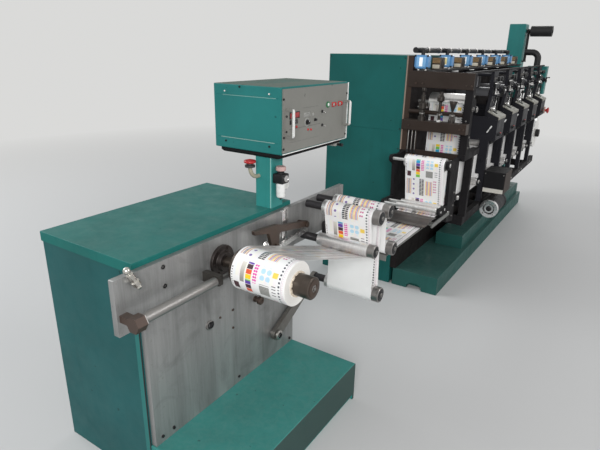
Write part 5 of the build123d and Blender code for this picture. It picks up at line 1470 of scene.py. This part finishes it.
@dataclass(frozen=True)
class PlateTrim(Trim):
    """Screws, nuts, knob, plug and guide sleeve on the rewind stand's ground plate."""

    name: str = "plate_trim"
    face_x: float = -0.215
    foot_screws: tuple[Spot, ...] = ((-2.1146, 0.2073), (-2.0644, 0.2067), (-1.7123, 0.2087))
    far_foot_screw: Spot = (-1.3535, 0.203)
    holes: tuple[Spot, ...] = ((-2.056, 0.819), (-2.054, 0.753))
    dark_screws: tuple[Spot, ...] = ((-1.8097, 0.5245), (-1.7397, 0.4476), (-1.7395, 0.5238))
    plug: Spot = (-1.866, 0.52)
    knob: Spot = (-1.602, 0.5126)
    stay_stud: Spot = (-1.5336, 0.7192)
    arm_nut: Point = (-0.181, -1.576, 0.748)
    sleeve_start: Point = (-0.155, -2.1965, 0.72)
    dancer_pivot: Point = (-0.18, -1.481, 0.295)

    def fit(self, kit: Kit) -> None:
        """Model the plate's screws and plug, then what stands out from it.

        Args:
            kit: takes the fittings.
        """
        face = self.face_x
        for spot in self.foot_screws:
            kit.screw(Axis.X, (face, *spot), 0.0055, finish="black_cap")
        kit.screw(Axis.X, (face, *self.far_foot_screw), 0.006, finish="black_cap")
        for spot in self.holes:
            kit.screw(Axis.X, (face - 0.004, *spot), 0.0072, finish="black_cap")
            kit.turned("fitting", Axis.X, (face, *spot),
                       ((-0.001, 0.0093), (0.0006, 0.0093), (0.0006, 0.0081), (-0.0006, 0.008)))
        plug = (face, *self.plug)
        kit.turned("black_cap", Axis.X, plug, stub(0.002, 0.007, 0.009, 0.0125, 0.0105), 6)
        kit.turned("black_cap", Axis.X, plug,
                   socketed(0.008, 0.0125, 0.0135, 0.0105, (0.0085, 0.007, 0.004, 0.0038)), 20)
        kit.turned("fitting", Axis.X, plug,
                   socketed(-0.001, 0.0035, 0.0045, 0.003, (0.0185, 0.0165, 0.0135, 0.013)), 28)
        for spot in self.dark_screws:
            kit.screw(Axis.X, (face, *spot), 0.0045, finish="browned")
        kit.turned("browned", Axis.X, (face, *self.knob), (
            (-0.001, 0.013), (0.006, 0.013), (0.007, 0.009), (0.02, 0.0085), (0.021, 0.017), (0.033, 0.017),
            (0.036, 0.0135), (0.036, 0.006), (0.034, 0.0055)))
        kit.block("bright", (face - 0.001, -1.423, 0.705), (face + 0.006, -1.389, 0.838), 0.0012)
        kit.nut(Axis.X, self.arm_nut, 0.0105)
        kit.turned("guide", Axis.Y, self.sleeve_start, barrel(0.0, 0.3075, 0.002, 0.0165, 0.0145), 36)
        kit.turned("black_cap", Axis.X, self.dancer_pivot,
                   socketed(-0.004, 0.006, 0.008, 0.003, (0.0125, 0.0112, 0.0062, 0.006)), 6)
        kit.turned("arm_boss", Axis.X, self.dancer_pivot, stub(-0.004, 0.002, 0.003, 0.021, 0.0195), 32)
        kit.turned("bright", Axis.X, (face, *self.stay_stud), (
            (-0.001, 0.012), (0.004, 0.012), (0.005, 0.0085), (0.026, 0.0085), (0.028, 0.0065)), 20)
        kit.block("rubber", (-0.2405, -2.1515, 0.03), (-0.2365, -2.1488, 0.655), 0.0006)


@dataclass(frozen=True)
class RollerTrim(Trim):
    """End caps, bolts and rings on the free ends of the stand's rollers."""

    name: str = "roller_trim"
    end_x: float = 0.145
    rollers: tuple[Roller, ...] = (FIRST_IDLER, SECOND_IDLER, BARE_ROLLER, TABLE_IDLER, DANCER_ROLLER)
    cap_shares: tuple[float, ...] = (0.82, 0.78, 0.42, 0.4)
    bolt_shares: tuple[float, ...] = (0.3, 0.26, 0.15, 0.14)
    ring_share: float = 1.025

    def fit(self, kit: Kit) -> None:
        """Model each roller's cap, bolt and ring at their shares of its radius.

        Args:
            kit: takes the fittings.
        """
        for y, z, radius in self.rollers:
            end = (self.end_x, y, z)
            cap, bolt = ([share * radius for share in shares] for shares in (self.cap_shares, self.bolt_shares))
            kit.turned("black_cap", Axis.X, end, socketed(-0.002, 0.0012, 0.0018, 0.0004, cap), 32)
            kit.turned("fitting", Axis.X, end, socketed(-0.002, 0.0045, 0.0055, 0.003, bolt), 20)
            ring = self.ring_share * radius
            kit.turned("idler", Axis.X, (self.end_x - 0.007, y, z),
                       ((-0.0008, radius), (-0.0004, ring), (0.0006, ring), (0.001, radius)), 40)


@dataclass(frozen=True)
class MandrelTrim(Trim):
    """Ring and bolt at the nose of the rewind mandrel, turning with it."""

    name: str = "mandrel_trim"
    body: str = "spindle"
    nose: Point = (0.175, *LABEL_ROLL[:2])

    def fit(self, kit: Kit) -> None:
        """Model the ring, the hexagon bolt and its pin.

        Args:
            kit: takes the fittings.
        """
        kit.turned("browned", Axis.X, self.nose,
                   socketed(-0.002, 0.0012, 0.0018, 0.0008, (0.03, 0.0285, 0.017, 0.0165)), 36)
        kit.turned("fitting", Axis.X, self.nose, stub(-0.005, 0.0015, 0.0025, 0.0125, 0.0112), 6)
        kit.turned("fitting", Axis.X, self.nose, ((0.002, 0.0062), (0.0045, 0.006), (0.0052, 0.0045)), 18)


@dataclass(frozen=True)
class PanelTrim(Trim):
    """Readouts, dial, buttons and screws on the control box, and the air filter on its post."""

    name: str = "panel_trim"
    face_x: float = -0.161
    side_y: float = -1.497
    panel_screws: tuple[Spot, ...] = (
        (-1.488, 1.291), (-1.469, 1.228), (-1.4695, 1.171), (-1.486, 1.151), (-1.0065, 1.285),
        (-1.0065, 1.147), (-1.488, 1.108), (-1.0065, 1.108))
    side_screws: tuple[tuple[str, float, float], ...] = (
        ("bright", -0.434, 1.307), ("bright", -0.218, 1.307), ("black_cap", -0.436, 1.113),
        ("black_cap", -0.219, 1.113), ("black_cap", -0.36, 1.326))
    windows: tuple[tuple[str, float, float, Spot, Spot, float], ...] = (
        ("black_cap", -0.001, 0.0016, (-1.449, 1.215), (-1.381, 1.241), 0.0006),
        ("black_cap", -0.001, 0.0026, (-1.447, 1.195), (-1.396, 1.2115), 0.0008),
        ("display", 0.0, 0.0024, (-1.4455, 1.2185), (-1.3845, 1.2375), 0.0006),
        ("smoked", 0.0, 0.0032, (-1.444, 1.1975), (-1.399, 1.209), 0.0006),
        ("label_plate", -0.0018, -0.0004, (-1.3485, 1.2135), (-1.3015, 1.2305), 0.0003),
        ("label_plate", -0.0018, -0.0004, (-1.2865, 1.2135), (-1.2715, 1.2245), 0.0003))
    lines: tuple[tuple[Spot, Spot], ...] = (
        ((-1.4505, 1.1765), (-1.2265, 1.1779)), ((-1.36, 1.2495), (-1.245, 1.2503)),
        ((-1.4505, 1.1262), (-1.2265, 1.1268)))
    dial: Spot = (-1.327, 1.193)
    meter_pivot: Spot = (-1.325, 1.2)
    lamps: tuple[Spot, ...] = ((-1.42, 1.1835), (-1.402, 1.183), (-1.319, 1.163), (-1.297, 1.1605))
    toggles: tuple[Spot, ...] = ((-1.213, 1.225), (-1.21, 1.169))
    start_button: Spot = (-1.169, 1.249)
    switches: tuple[Spot, ...] = ((-1.118, 1.246), (-1.066, 1.246))
    bowl: Point = (-0.203, -1.444, 0.901)

    def fit(self, kit: Kit) -> None:
        """Model the readouts, the button set that replaces a node, the case's trim and the filter.

        Args:
            kit: takes the fittings.
        """
        face = self.face_x
        self.readouts(kit)
        buttons = Kit("panel_button_set", kit.paints)
        self.buttons(buttons)
        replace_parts(buttons.whole(), "panel_buttons")
        for spot in self.panel_screws:
            kit.screw(Axis.X, (face, *spot), 0.0042, finish="black_cap")
        kit.block("white_cap", (face - 0.001, -0.9995, 1.088), (face + 0.0035, -0.9955, 1.331), 0.0007)
        kit.block("white_cap", (face - 0.001, -1.4935, 1.086), (face + 0.0022, -0.9985, 1.0895), 0.0006)
        for finish, x, z in self.side_screws:
            kit.screw(Axis.Y, (x, self.side_y, z), 0.004, -1.0, finish)
        kit.block("label_plate", (-0.222, -1.05, 1.0535), (-0.183, -1.012, 1.066), 0.0015)
        kit.turned("black_cap", Axis.X, (-0.184, -1.031, 1.0598), (
            (0.0, 0.0055), (0.014, 0.0055), (0.015, 0.0075), (0.026, 0.0075), (0.028, 0.006)), 18)
        self.filter_bowl(kit)

    def readouts(self, kit: Kit) -> None:
        """Add the two displays, the meter, the dial and the plates that carry no writing.

        Args:
            kit: takes the fittings.
        """
        face = self.face_x
        for finish, foot, top, low, high, bevel in self.windows:
            kit.block(finish, (face + foot, *low), (face + top, *high), bevel)
        y, z = self.meter_pivot
        for number in range(9):
            mark = Bench.block((face - 0.0006, y - 0.0005, z + 0.0235), (face - 0.0001, y + 0.0005, z + 0.0285),
                               0.0001, 1)
            kit.add("panel_mark", Bench.lean(mark, radians(11.0 * (number - 4)), Axis.X, (face, y, z)))
        for low, high in self.lines:
            kit.block("panel_mark", (face - 0.001, *low), (face + 0.0004, *high), 0.0002, 1)
        y, z = self.dial
        dial = (face, y, z)
        kit.turned("label_plate", Axis.X, dial, stub(-0.001, 0.0009, 0.0012, 0.0175, 0.0168), 40)
        kit.turned("black_cap", Axis.X, dial, (
            (0.001, 0.0105), (0.0035, 0.0105), (0.004, 0.0082), (0.0115, 0.0076), (0.0125, 0.0066)), 28)
        kit.block("white_cap", (face + 0.0122, y - 0.0006, z + 0.0015), (face + 0.0131, y + 0.0006, z + 0.0065),
                  0.0002, 1)
        for number in range(11):
            mark = Bench.block((face + 0.001, y - 0.0005, z + 0.012), (face + 0.0016, y + 0.0005, z + 0.0158),
                               0.0001, 1)
            kit.add("panel_mark", Bench.lean(mark, radians(135.0 - 27.0 * number), Axis.X, dial))
        kit.turned("black_cap", Axis.X, (face, -1.267, 1.197), (
            (-0.001, 0.0062), (0.002, 0.0062), (0.0025, 0.0048), (0.009, 0.0044), (0.0097, 0.0036)), 20)

    def buttons(self, kit: Kit) -> None:
        """Add the small lamps, the toggles, the start button and the two red switches.

        Args:
            kit: takes the fittings.
        """
        face = self.face_x
        for spot in self.lamps:
            kit.turned("red_cap", Axis.X, (face, *spot), (
                (-0.001, 0.0046), (0.0018, 0.0046), (0.0022, 0.0038), (0.0042, 0.0034), (0.0048, 0.002)), 18)
        for spot in self.toggles:
            seat = (face, *spot)
            kit.turned("black_cap", Axis.X, seat, (
                (-0.001, 0.0068), (0.0022, 0.0068), (0.0028, 0.0045), (0.0062, 0.0042)), 6)
            lever = Bench.turned(Axis.X, seat, ((0.005, 0.0018), (0.015, 0.0025), (0.017, 0.0018)), 14)
            kit.add("bright", Bench.lean(lever, radians(16.0), Axis.Y, (face + 0.005, *spot)))
        start = (face, *self.start_button)
        kit.turned("green_cap", Axis.X, start,
                   socketed(-0.001, 0.004, 0.005, 0.0035, (0.0125, 0.0115, 0.0072, 0.007)), 32)
        kit.turned("white_cap", Axis.X, start, stub(0.0, 0.0052, 0.006, 0.0066, 0.0052))
        for y, z in self.switches:
            kit.block("red_cap", (face - 0.001, y - 0.0165, z - 0.0095),
                      (face + 0.0036, y + 0.0165, z + 0.0095), 0.0012)
            for finish, side in (("label_plate", -0.0082), ("red_cap", 0.0082)):
                kit.turned(finish, Axis.X, (face, y + side, z), stub(0.003, 0.0075, 0.0085, 0.006, 0.005))

    def filter_bowl(self, kit: Kit) -> None:
        """Add the air filter on the post's side: pale bowl, black head, knob and gauge ring.

        Args:
            kit: takes the fittings.
        """
        kit.turned("white_cap", Axis.Z, self.bowl, (
            (0.0, 0.006), (0.001, 0.01), (0.005, 0.0165), (0.012, 0.0185), (0.06, 0.0185), (0.062, 0.017)), 32)
        kit.block("black_cap", (-0.2285, -1.466, 0.963), (-0.1795, -1.42, 1.001), 0.004, 3)
        kit.turned("black_cap", Axis.Z, self.bowl, ((-0.006, 0.0045), (0.001, 0.006)), 16)
        kit.turned("black_cap", Axis.Z, self.bowl, (
            (0.099, 0.0145), (0.106, 0.0145), (0.108, 0.0125), (0.113, 0.0125)))
        kit.turned("black_cap", Axis.Y, (-0.203, -1.42, 0.983), (
            (-0.002, 0.009), (0.012, 0.009), (0.013, 0.0065), (0.024, 0.006)), 6)
        kit.turned("regulator_knob", Axis.Z, self.bowl, (
            (0.112, 0.0185), (0.114, 0.0205), (0.126, 0.0205), (0.129, 0.0175), (0.129, 0.008)))
        kit.turned("bright", Axis.X, (-0.18, -1.443, 0.983),
                   socketed(-0.001, 0.0045, 0.0055, 0.0045, (0.0135, 0.0125, 0.0105, 0.01)), 28)


@dataclass(frozen=True)
class DeliveryTrim(Trim):
    """Roller ends and screws on the operator's outfeed plate."""

    name: str = "delivery_trim"
    face_x: float = 0.134
    ends: tuple[Roller, ...] = (
        (-0.335, 0.88, 0.012), (-0.278, 0.6, 0.008), (-0.344, 0.633, 0.007), (-0.41, 0.6335, 0.007))
    screws: tuple[Spot, ...] = ((-0.2, 0.56), (-0.2, 0.7), (-0.19, 0.62))

    def fit(self, kit: Kit) -> None:
        """Model the roller ends and the screws.

        Args:
            kit: takes the fittings.
        """
        for y, z, radius in self.ends:
            kit.turned("bright", Axis.X, (self.face_x, y, z),
                       socketed(-0.002, 0.0035, 0.0045, 0.002,
                                (radius, 0.86 * radius, 0.45 * radius, 0.42 * radius)), 22)
        for spot in self.screws:
            kit.screw(Axis.X, (self.face_x, *spot), 0.0055)


@dataclass(frozen=True)
class FrontTrim(Trim):
    """What the delivery frame carries: screws, the nip adjusters' nuts and bars, rods and a hand knob."""

    name: str = "front_trim"
    beam_y: float = -0.156
    beam_screws: tuple[float, ...] = (-0.17, -0.13, 0.12, 0.148)
    crossbeam_y: float = -0.206
    crossbeam_screws: tuple[float, ...] = (-0.172, 0.125, 0.147)
    adjusters: tuple[Spot, ...] = ((-0.106, -0.184), (-0.004, -0.184), (0.068, -0.184))
    adjuster_seat: float = 1.088
    rod: Point = (-0.183, -0.166, 0.895)
    rod_step: Point = (0.02, 0.005, 0.0)
    knob: Point = (0.118, -0.128, 1.165)
    portal_screws: tuple[float, ...] = (0.95, 1.01, 1.235)

    def fit(self, kit: Kit) -> None:
        """Model the beams' screws, the adjusters, the rods and the portal's knob and screws.

        Args:
            kit: takes the fittings.
        """
        for x in self.beam_screws:
            kit.screw(Axis.Y, (x, self.beam_y, 1.29), 0.0052, -1.0, "browned")
        for x in self.crossbeam_screws:
            kit.screw(Axis.Y, (x, self.crossbeam_y, 1.058), 0.0052, -1.0, "browned")
        for number, (x, y) in enumerate(self.adjusters):
            seat = (x, y, self.adjuster_seat)
            kit.turned("bright", Axis.Z, seat, stub(-0.001, 0.003, 0.004, 0.0165, 0.0155))
            kit.turned("bright", Axis.Z, seat, stub(0.003, 0.012, 0.013, 0.0125, 0.011), 6)
            kit.turned("bright", Axis.X, (x, y, self.adjuster_seat + 0.075 + 0.02 * number), (
                (-0.03, 0.002), (-0.028, 0.0042), (-0.022, 0.0042), (-0.02, 0.0022), (0.02, 0.0022),
                (0.022, 0.0042), (0.028, 0.0042), (0.03, 0.002)), 14)
            kit.turned("fitting", Axis.Z, seat, barrel(0.036, 0.046, 0.002, 0.0165, 0.0135), 26)
        shifts = [Vector(self.rod_step) * number for number in (1, 2)]
        kit.row("fitting", Bench.turned(Axis.Z, self.rod, stub(-0.004, 0.155, 0.157, 0.003, 0.0022), 14),
                *shifts)
        kit.row("black_cap", Bench.turned(Axis.Z, self.rod, stub(-0.006, 0.012, 0.014, 0.0085, 0.0065), 6),
                *shifts)
        kit.turned("fitting", Axis.X, self.knob, (
            (0.04, 0.014), (0.046, 0.014), (0.047, 0.008), (0.058, 0.008), (0.059, 0.0155), (0.068, 0.0155),
            (0.07, 0.013), (0.07, 0.0075), (0.067, 0.007)), 26)
        kit.turned("black_cap", Axis.X, self.knob, stub(0.059, 0.066, 0.067, 0.0175, 0.0165), 26)
        for z in self.portal_screws:
            kit.screw(Axis.X, (0.16, self.knob[1], z), 0.006)
        kit.screw(Axis.Y, (0.139, -0.15, 1.1), 0.005, -1.0)


@dataclass(frozen=True)
class StationTrim(Trim):
    """What the operator handles at each print station, given from the station's near face."""

    name: str = "station_trim"
    count: int = STATIONS
    spacing: float = STATION_PITCH
    near_y: float = 0.41
    head_x: float = 0.118
    housing_x: float = 0.19
    wheel: Point = (0.168, 0.105, 1.235)
    gauge: Point = (0.118, 0.066, 1.118)
    lever_pivot: Point = (0.118, 0.153, 1.112)
    lid_pivot: Point = (0.118, 0.1, 1.104)
    handle_boss: Point = (0.145, 0.0, 0.992)
    head_screws: tuple[Spot, ...] = ((0.042, 1.122), (0.168, 1.122), (0.072, 1.17), (0.138, 1.17),
                                     (0.105, 1.155))
    near_screws: tuple[Spot, ...] = ((0.13, 0.93), (0.178, 0.93), (0.178, 1.05), (0.13, 1.065))
    housing_screws: tuple[Spot, ...] = ((0.012, 0.93), (0.188, 0.93), (0.012, 1.042), (0.188, 1.042))

    def fit(self, kit: Kit) -> None:
        """Model the first station's fittings from its head down.

        Args:
            kit: takes the fittings.
        """
        self.head(kit)
        self.housing(kit)
        self.low_side(kit)

    def at(self, x: float, y: float, z: float) -> Point:
        """A place given from the first station's near face."""
        return (x, self.near_y + y, z)

    def head(self, kit: Kit) -> None:
        """Add the head's hand wheel, screws, gauge, nuts, lever, knobs and valve block.

        Args:
            kit: takes the fittings.
        """
        wheel = self.at(*self.wheel)
        kit.turned("black_cap", Axis.X, wheel, (
            (-0.003, 0.012), (0.006, 0.012), (0.007, 0.024), (0.012, 0.026), (0.017, 0.024), (0.018, 0.013),
            (0.012, 0.012)), 28)
        kit.turned("bright", Axis.X, wheel, stub(0.006, 0.02, 0.022, 0.008, 0.006), 6)
        kit.turned("black_cap", Axis.X, self.at(0.177, 0.105, 1.256), (
            (0.0, 0.004), (0.018, 0.0036), (0.021, 0.0058), (0.029, 0.0055), (0.031, 0.003)), 16)
        for spot in self.head_screws:
            kit.screw(Axis.X, self.at(self.head_x, *spot), 0.0055)
        gauge = self.at(*self.gauge)
        kit.turned("bright", Axis.X, gauge, (
            (-0.001, 0.0105), (0.016, 0.0105), (0.017, 0.0165), (0.026, 0.0165), (0.028, 0.0155),
            (0.028, 0.0128), (0.0255, 0.0125)), 30)
        kit.turned("label_plate", Axis.X, gauge, ((0.0245, 0.0123), (0.0262, 0.0123)), 28)
        needle = Bench.block(self.at(0.144, 0.0654, 1.116), self.at(0.1449, 0.0666, 1.1275), 0.0002, 1)
        kit.add("black_cap", Bench.lean(needle, 0.7, Axis.X, gauge))
        for y in (0.078, 0.132):
            foot = self.at(0.133, y, 1.207)
            kit.turned("bright", Axis.Z, foot, stub(-0.001, 0.007, 0.008, 0.0125, 0.0112), 6)
            kit.turned("bright", Axis.Z, foot, stub(0.0, 0.022, 0.023, 0.0068, 0.0058), 16)
        lever = Bench.block(self.at(0.119, 0.148, 1.108), self.at(0.126, 0.158, 1.188), 0.0025, 3)
        kit.add("bright", Bench.lean(lever, radians(-24.0), Axis.X, self.at(*self.lever_pivot)))
        kit.turned("bright", Axis.X, self.at(*self.lever_pivot),
                   socketed(-0.001, 0.011, 0.012, 0.01, (0.0095, 0.008, 0.004, 0.0035)), 20)
        for y in (0.07, 0.14):
            seat = self.at(self.head_x, y, 1.305)
            kit.turned("fitting", Axis.X, seat, (
                (-0.001, 0.011), (0.004, 0.011), (0.005, 0.006), (0.021, 0.006)), 20)
            kit.turned("black_cap", Axis.X, seat, (
                (0.019, 0.012), (0.021, 0.0145), (0.034, 0.0145), (0.037, 0.012), (0.037, 0.006),
                (0.035, 0.005)))
        kit.block("black_cap", self.at(0.117, 0.062, 1.264), self.at(0.128, 0.148, 1.284), 0.002)
        kit.turned("bright", Axis.Y, self.at(0.128, 0.105, 1.274),
                   barrel(-0.034, 0.034, 0.001, 0.0045, 0.003), 16)
        kit.turned("rubber", Axis.Z, self.at(0.132, 0.178, 1.094), (
            (-0.004, 0.008), (0.006, 0.008), (0.008, 0.005), (0.062, 0.005), (0.064, 0.0085), (0.086, 0.0085),
            (0.088, 0.006)), 16)

    def housing(self, kit: Kit) -> None:
        """Add the housing's lid pad and handle, hinges, lever, screws, buttons and cable glands.

        Args:
            kit: takes the fittings.
        """
        centre = self.at(*self.lid_pivot)
        for finish, low, high, bevel, segments in (
                ("lid_pad", (0.128, 0.03, 1.103), (0.18, 0.17, 1.1058), 0.0008, 2),
                ("black_cap", (0.139, 0.06, 1.1055), (0.146, 0.135, 1.1125), 0.0018, 3),
                ("black_cap", (0.139, 0.06, 1.1055), (0.168, 0.068, 1.1115), 0.0015, 3)):
            sheet = Bench.block(self.at(*low), self.at(*high), bevel, segments)
            kit.add(finish, Bench.lean(sheet, radians(24.0), Axis.Y, centre))
        kit.row("bright", Bench.turned(Axis.Y, self.at(0.12, 0.03, 1.104),
                                       barrel(-0.012, 0.012, 0.001, 0.005, 0.0042), 14), (0.0, 0.14, 0.0))
        boss = self.at(*self.handle_boss)
        handle = Bench.turned(Axis.Z, self.at(0.145, -0.006, 0.966),
                              barrel(0.0, 0.052, 0.002, 0.0048, 0.0035), 16)
        kit.add("white_cap", Bench.lean(handle, radians(30.0), Axis.Y, boss))
        kit.turned("black_cap", Axis.Y, boss, stub(0.001, -0.008, -0.01, 0.008, 0.006), 20)
        for x, z in self.near_screws:
            kit.screw(Axis.Y, self.at(x, 0.0, z), 0.0035, -1.0, "black_cap")
        for spot in self.housing_screws:
            kit.screw(Axis.X, self.at(self.housing_x, *spot), 0.0035, finish="black_cap")
        kit.row("black_cap", Bench.turned(Axis.X, self.at(self.housing_x, 0.05, 0.955), (
            (-0.001, 0.01), (0.004, 0.01), (0.005, 0.0075), (0.014, 0.007), (0.015, 0.0055)), 20),
            (0.0, 0.03, 0.0))
        kit.turned("red_cap", Axis.X, self.at(self.housing_x, 0.112, 0.955),
                   stub(-0.001, 0.005, 0.007, 0.0085, 0.0065), 20)
        kit.row("rubber", Bench.turned(Axis.Z, self.at(0.155, 0.045, 0.915), (
            (0.001, 0.0095), (-0.01, 0.0095), (-0.011, 0.007), (-0.024, 0.0065)), 16),
                (0.0, 0.04, 0.0), (0.0, 0.08, 0.0))

    def low_side(self, kit: Kit) -> None:
        """Add the post's nut, the bearing cap, the low idlers' ends and the rail's bolts.

        Args:
            kit: takes the fittings.
        """
        kit.nut(Axis.X, self.at(0.15, 0.018, 0.79), 0.007)
        kit.turned("bright", Axis.X, self.at(0.128, 0.08, 0.79),
                   socketed(-0.002, 0.006, 0.008, 0.005, (0.018, 0.0155, 0.009, 0.0085)), 26)
        for y in (-0.015, 0.175):
            kit.turned("black_cap", Axis.X, self.at(0.135, y, 0.64),
                       socketed(-0.002, 0.0015, 0.0025, 0.0005, (0.0135, 0.0125, 0.008, 0.0075)))
            kit.screw(Axis.X, self.at(0.1345, y, 0.64), 0.0055)
        for y in (0.05, 0.15):
            kit.turned("bright", Axis.X, self.at(0.15, y, 0.47), stub(-0.001, 0.006, 0.007, 0.008, 0.0065), 6)


@dataclass(frozen=True)
class LampTrim(Trim):
    """Face, lens, corners and clips of each lamp box."""

    name: str = "lamp_trim"
    count: int = LAMPS
    spacing: float = LAMP_PITCH
    low: Point = LAMP_LOW
    high: Point = LAMP_HIGH

    def plate(self, margin: Spot, foot: float, top: float, bevel: float, segments: int = 2) -> bpy.types.Object:
        """Plate on the box's front.

        Args:
            margin: how far it stays inside the box, across and upright.
            foot: its back, measured from the front.
            top: its face, measured from the front.
            bevel: width of its bevel.
            segments: faces round the bevel.

        Returns:
            The plate.
        """
        across, upright = margin
        return Bench.block((self.low[0] + across, self.low[1] + top, self.low[2] + upright),
                           (self.high[0] - across, self.low[1] + foot, self.high[2] - upright), bevel, segments)

    def fit(self, kit: Kit) -> None:
        """Model the first lamp's face, lens, corners and clips.

        Args:
            kit: takes the fittings.
        """
        x0, front, z0 = self.low
        kit.add("lamp_face", self.plate((0.014, 0.009), 0.001, -0.003, 0.0012))
        kit.add("lamp_lens", self.plate((0.031, 0.013), -0.001, -0.0055, 0.0022, 4))
        corner = Bench.block((x0 - 0.0008, front - 0.0018, z0 - 0.0008),
                             (x0 + 0.01, front + 0.006, z0 + 0.01), 0.0015)
        wide, tall = self.high[0] - x0 - 0.0092, self.high[2] - z0 - 0.0092
        kit.row("black_cap", corner, (wide, 0.0, 0.0), (0.0, 0.0, tall), (wide, 0.0, tall))
        kit.row("bright", Bench.turned(Axis.Y, (x0 + 0.02, front + 0.02, z0), (
            (-0.012, 0.0035), (-0.01, 0.0055), (0.0, 0.0055), (0.002, 0.004)), 16), (0.04, 0.0, 0.0))


@dataclass(frozen=True)
class AmberTrim(LampTrim):
    """Amber lens over the second lamp's own."""

    name: str = "second_lamp"
    count: int = 1
    low: Point = (LAMP_LOW[0], LAMP_LOW[1] + LAMP_PITCH, LAMP_LOW[2])

    def fit(self, kit: Kit) -> None:
        """Model the lens."""
        kit.add("amber_lens", self.plate((0.03, 0.018), -0.003, -0.0068, 0.0016, 3))


@dataclass(frozen=True)
class FanTrim(Trim):
    """Louvres, plate and inlet of the fan box behind each lamp."""

    name: str = "fan_trim"
    count: int = LAMPS
    spacing: float = LAMP_PITCH
    near_y: float = LAMP_LOW[1] + 0.24

    def fit(self, kit: Kit) -> None:
        """Model the first fan's four louvres, its plate and its inlet.

        Args:
            kit: takes the fittings.
        """
        near = self.near_y
        for number in range(4):
            z = 1.42 - 0.0075 * number
            kit.block("fan_stripe", (-0.172, near - 0.003, z), (-0.124, near + 0.001, z + 0.0042))
        kit.block("fan_pale", (-0.17, near - 0.0035, 1.366), (-0.126, near + 0.001, 1.389), 0.0018, 3)
        kit.turned("black_cap", Axis.X, (-0.118, near + 0.035, 1.395),
                   socketed(-0.001, 0.002, 0.003, 0.001, (0.028, 0.026, 0.012, 0.011)), 32)


@dataclass(frozen=True)
class DuctTrim(Trim):
    """Clamps round the air duct."""

    name: str = "duct_trim"
    first: Point = (-0.195, 0.05, 1.47)
    radius: float = 0.016
    clamps: int = 10
    pitch: float = 0.21

    def fit(self, kit: Kit) -> None:
        """Model the first clamp and copy it along the duct.

        Args:
            kit: takes the fittings.
        """
        band = Bench.turned(Axis.Y, self.first,
                            barrel(-0.009, 0.009, 0.001, 1.1 * self.radius, self.radius), 26)
        kit.row("fitting", band, *((0.0, self.pitch * number, 0.0) for number in range(1, self.clamps)))


@dataclass(frozen=True)
class DriveTrim(Trim):
    """Screws and hinges of the drive cabinet and gear cover, the feed motor's cap and the far stop's knob."""

    name: str = "drive_trim"
    front_y: float = -0.15
    front_screws: tuple[tuple[float, ...], tuple[float, ...]] = ((-0.74, -0.249), (0.5, 0.9, 1.02, 1.425))
    motor: Point = (0.212, 0.41, 0.458)
    motor_screw_circle: float = 0.047
    box_screws: tuple[float, ...] = (0.162, 0.278)
    cover_screws: int = 7
    hinge: Spot = (-0.7535, -0.112)
    hinge_heights: tuple[float, ...] = (0.3, 0.75)
    far_stop: Point = (0.214, 2.309, 0.955)

    def fit(self, kit: Kit) -> None:
        """Model the cabinet's and covers' fittings, then the motor's.

        Args:
            kit: takes the fittings.
        """
        columns, heights = self.front_screws
        for x in columns:
            for z in heights:
                kit.screw(Axis.Y, (x, self.front_y, z), 0.0038, -1.0, "black_cap")
        self.covers(kit)
        x, near, z = self.motor
        for number in range(4):
            angle = radians(90.0 * number + 45.0)
            kit.screw(Axis.Y, (x + self.motor_screw_circle * cos(angle), near,
                               z + self.motor_screw_circle * sin(angle)), 0.0045, -1.0)
        kit.turned("black_cap", Axis.Y, (x, near + 0.012, z),
                   socketed(0.001, -0.004, -0.006, -0.002, (0.018, 0.015, 0.007, 0.0065)), 28)
        for x in self.box_screws:
            kit.screw(Axis.Y, (x, near, 0.7), 0.0042, -1.0)

    def covers(self, kit: Kit) -> None:
        """Add the gear cover's screws, the door's hinges and the far stop's red knob.

        Args:
            kit: takes the fittings.
        """
        low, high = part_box("gear_cover")
        for number in range(self.cover_screws):
            y = low[1] + 0.03 + (high[1] - low[1] - 0.06) * number / (self.cover_screws - 1)
            for z in (low[2] + 0.025, high[2] - 0.025):
                kit.screw(Axis.X, (low[0], y, z), 0.006, -1.0)
        for z in self.hinge_heights:
            kit.turned("black_cap", Axis.Z, (*self.hinge, z), barrel(-0.05, 0.05, 0.002, 0.0065, 0.005), 18)
        kit.turned("red_cap", Axis.X, self.far_stop, (
            (-0.002, 0.011), (0.003, 0.025), (0.009, 0.028), (0.015, 0.026), (0.019, 0.014)), 32)


def dress_nodes(paints: Paints) -> None:
    """Give every CAD node its finish.

    Args:
        paints: where the finishes come from.
    """
    for name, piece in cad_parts.items():
        if name in NODE_FINISH:
            paints.dress(piece, NODE_FINISH[name])
            LOG.info("%s: %s", name, NODE_FINISH[name])


def main() -> None:
    """Build the looks in order and report each piece."""
    logging.basicConfig(level=logging.INFO, format="%(name)s %(message)s")
    studio = Studio()
    studio.camera()
    studio.floor()
    studio.light()
    paints = Paints()
    dress_nodes(paints)
    webs = (Web("printed_delivery_web", "delivery_web", DELIVERY_LINE, ("printed", "backing")),
            Web("printed_press_web", "press_web", press_line(), ("half_printed", "backing")))
    for web in webs:
        web.build(paints)
        LOG.info("%s: %.2f m long", web.name, web.lengths[-1])
    for trim in (PlateTrim(), RollerTrim(), MandrelTrim(), PanelTrim(), DeliveryTrim(), FrontTrim(),
                 StationTrim(), LampTrim(), AmberTrim(), FanTrim(), DuctTrim(), DriveTrim()):
        trim.build(paints)


if __name__ == "__main__":
    main()
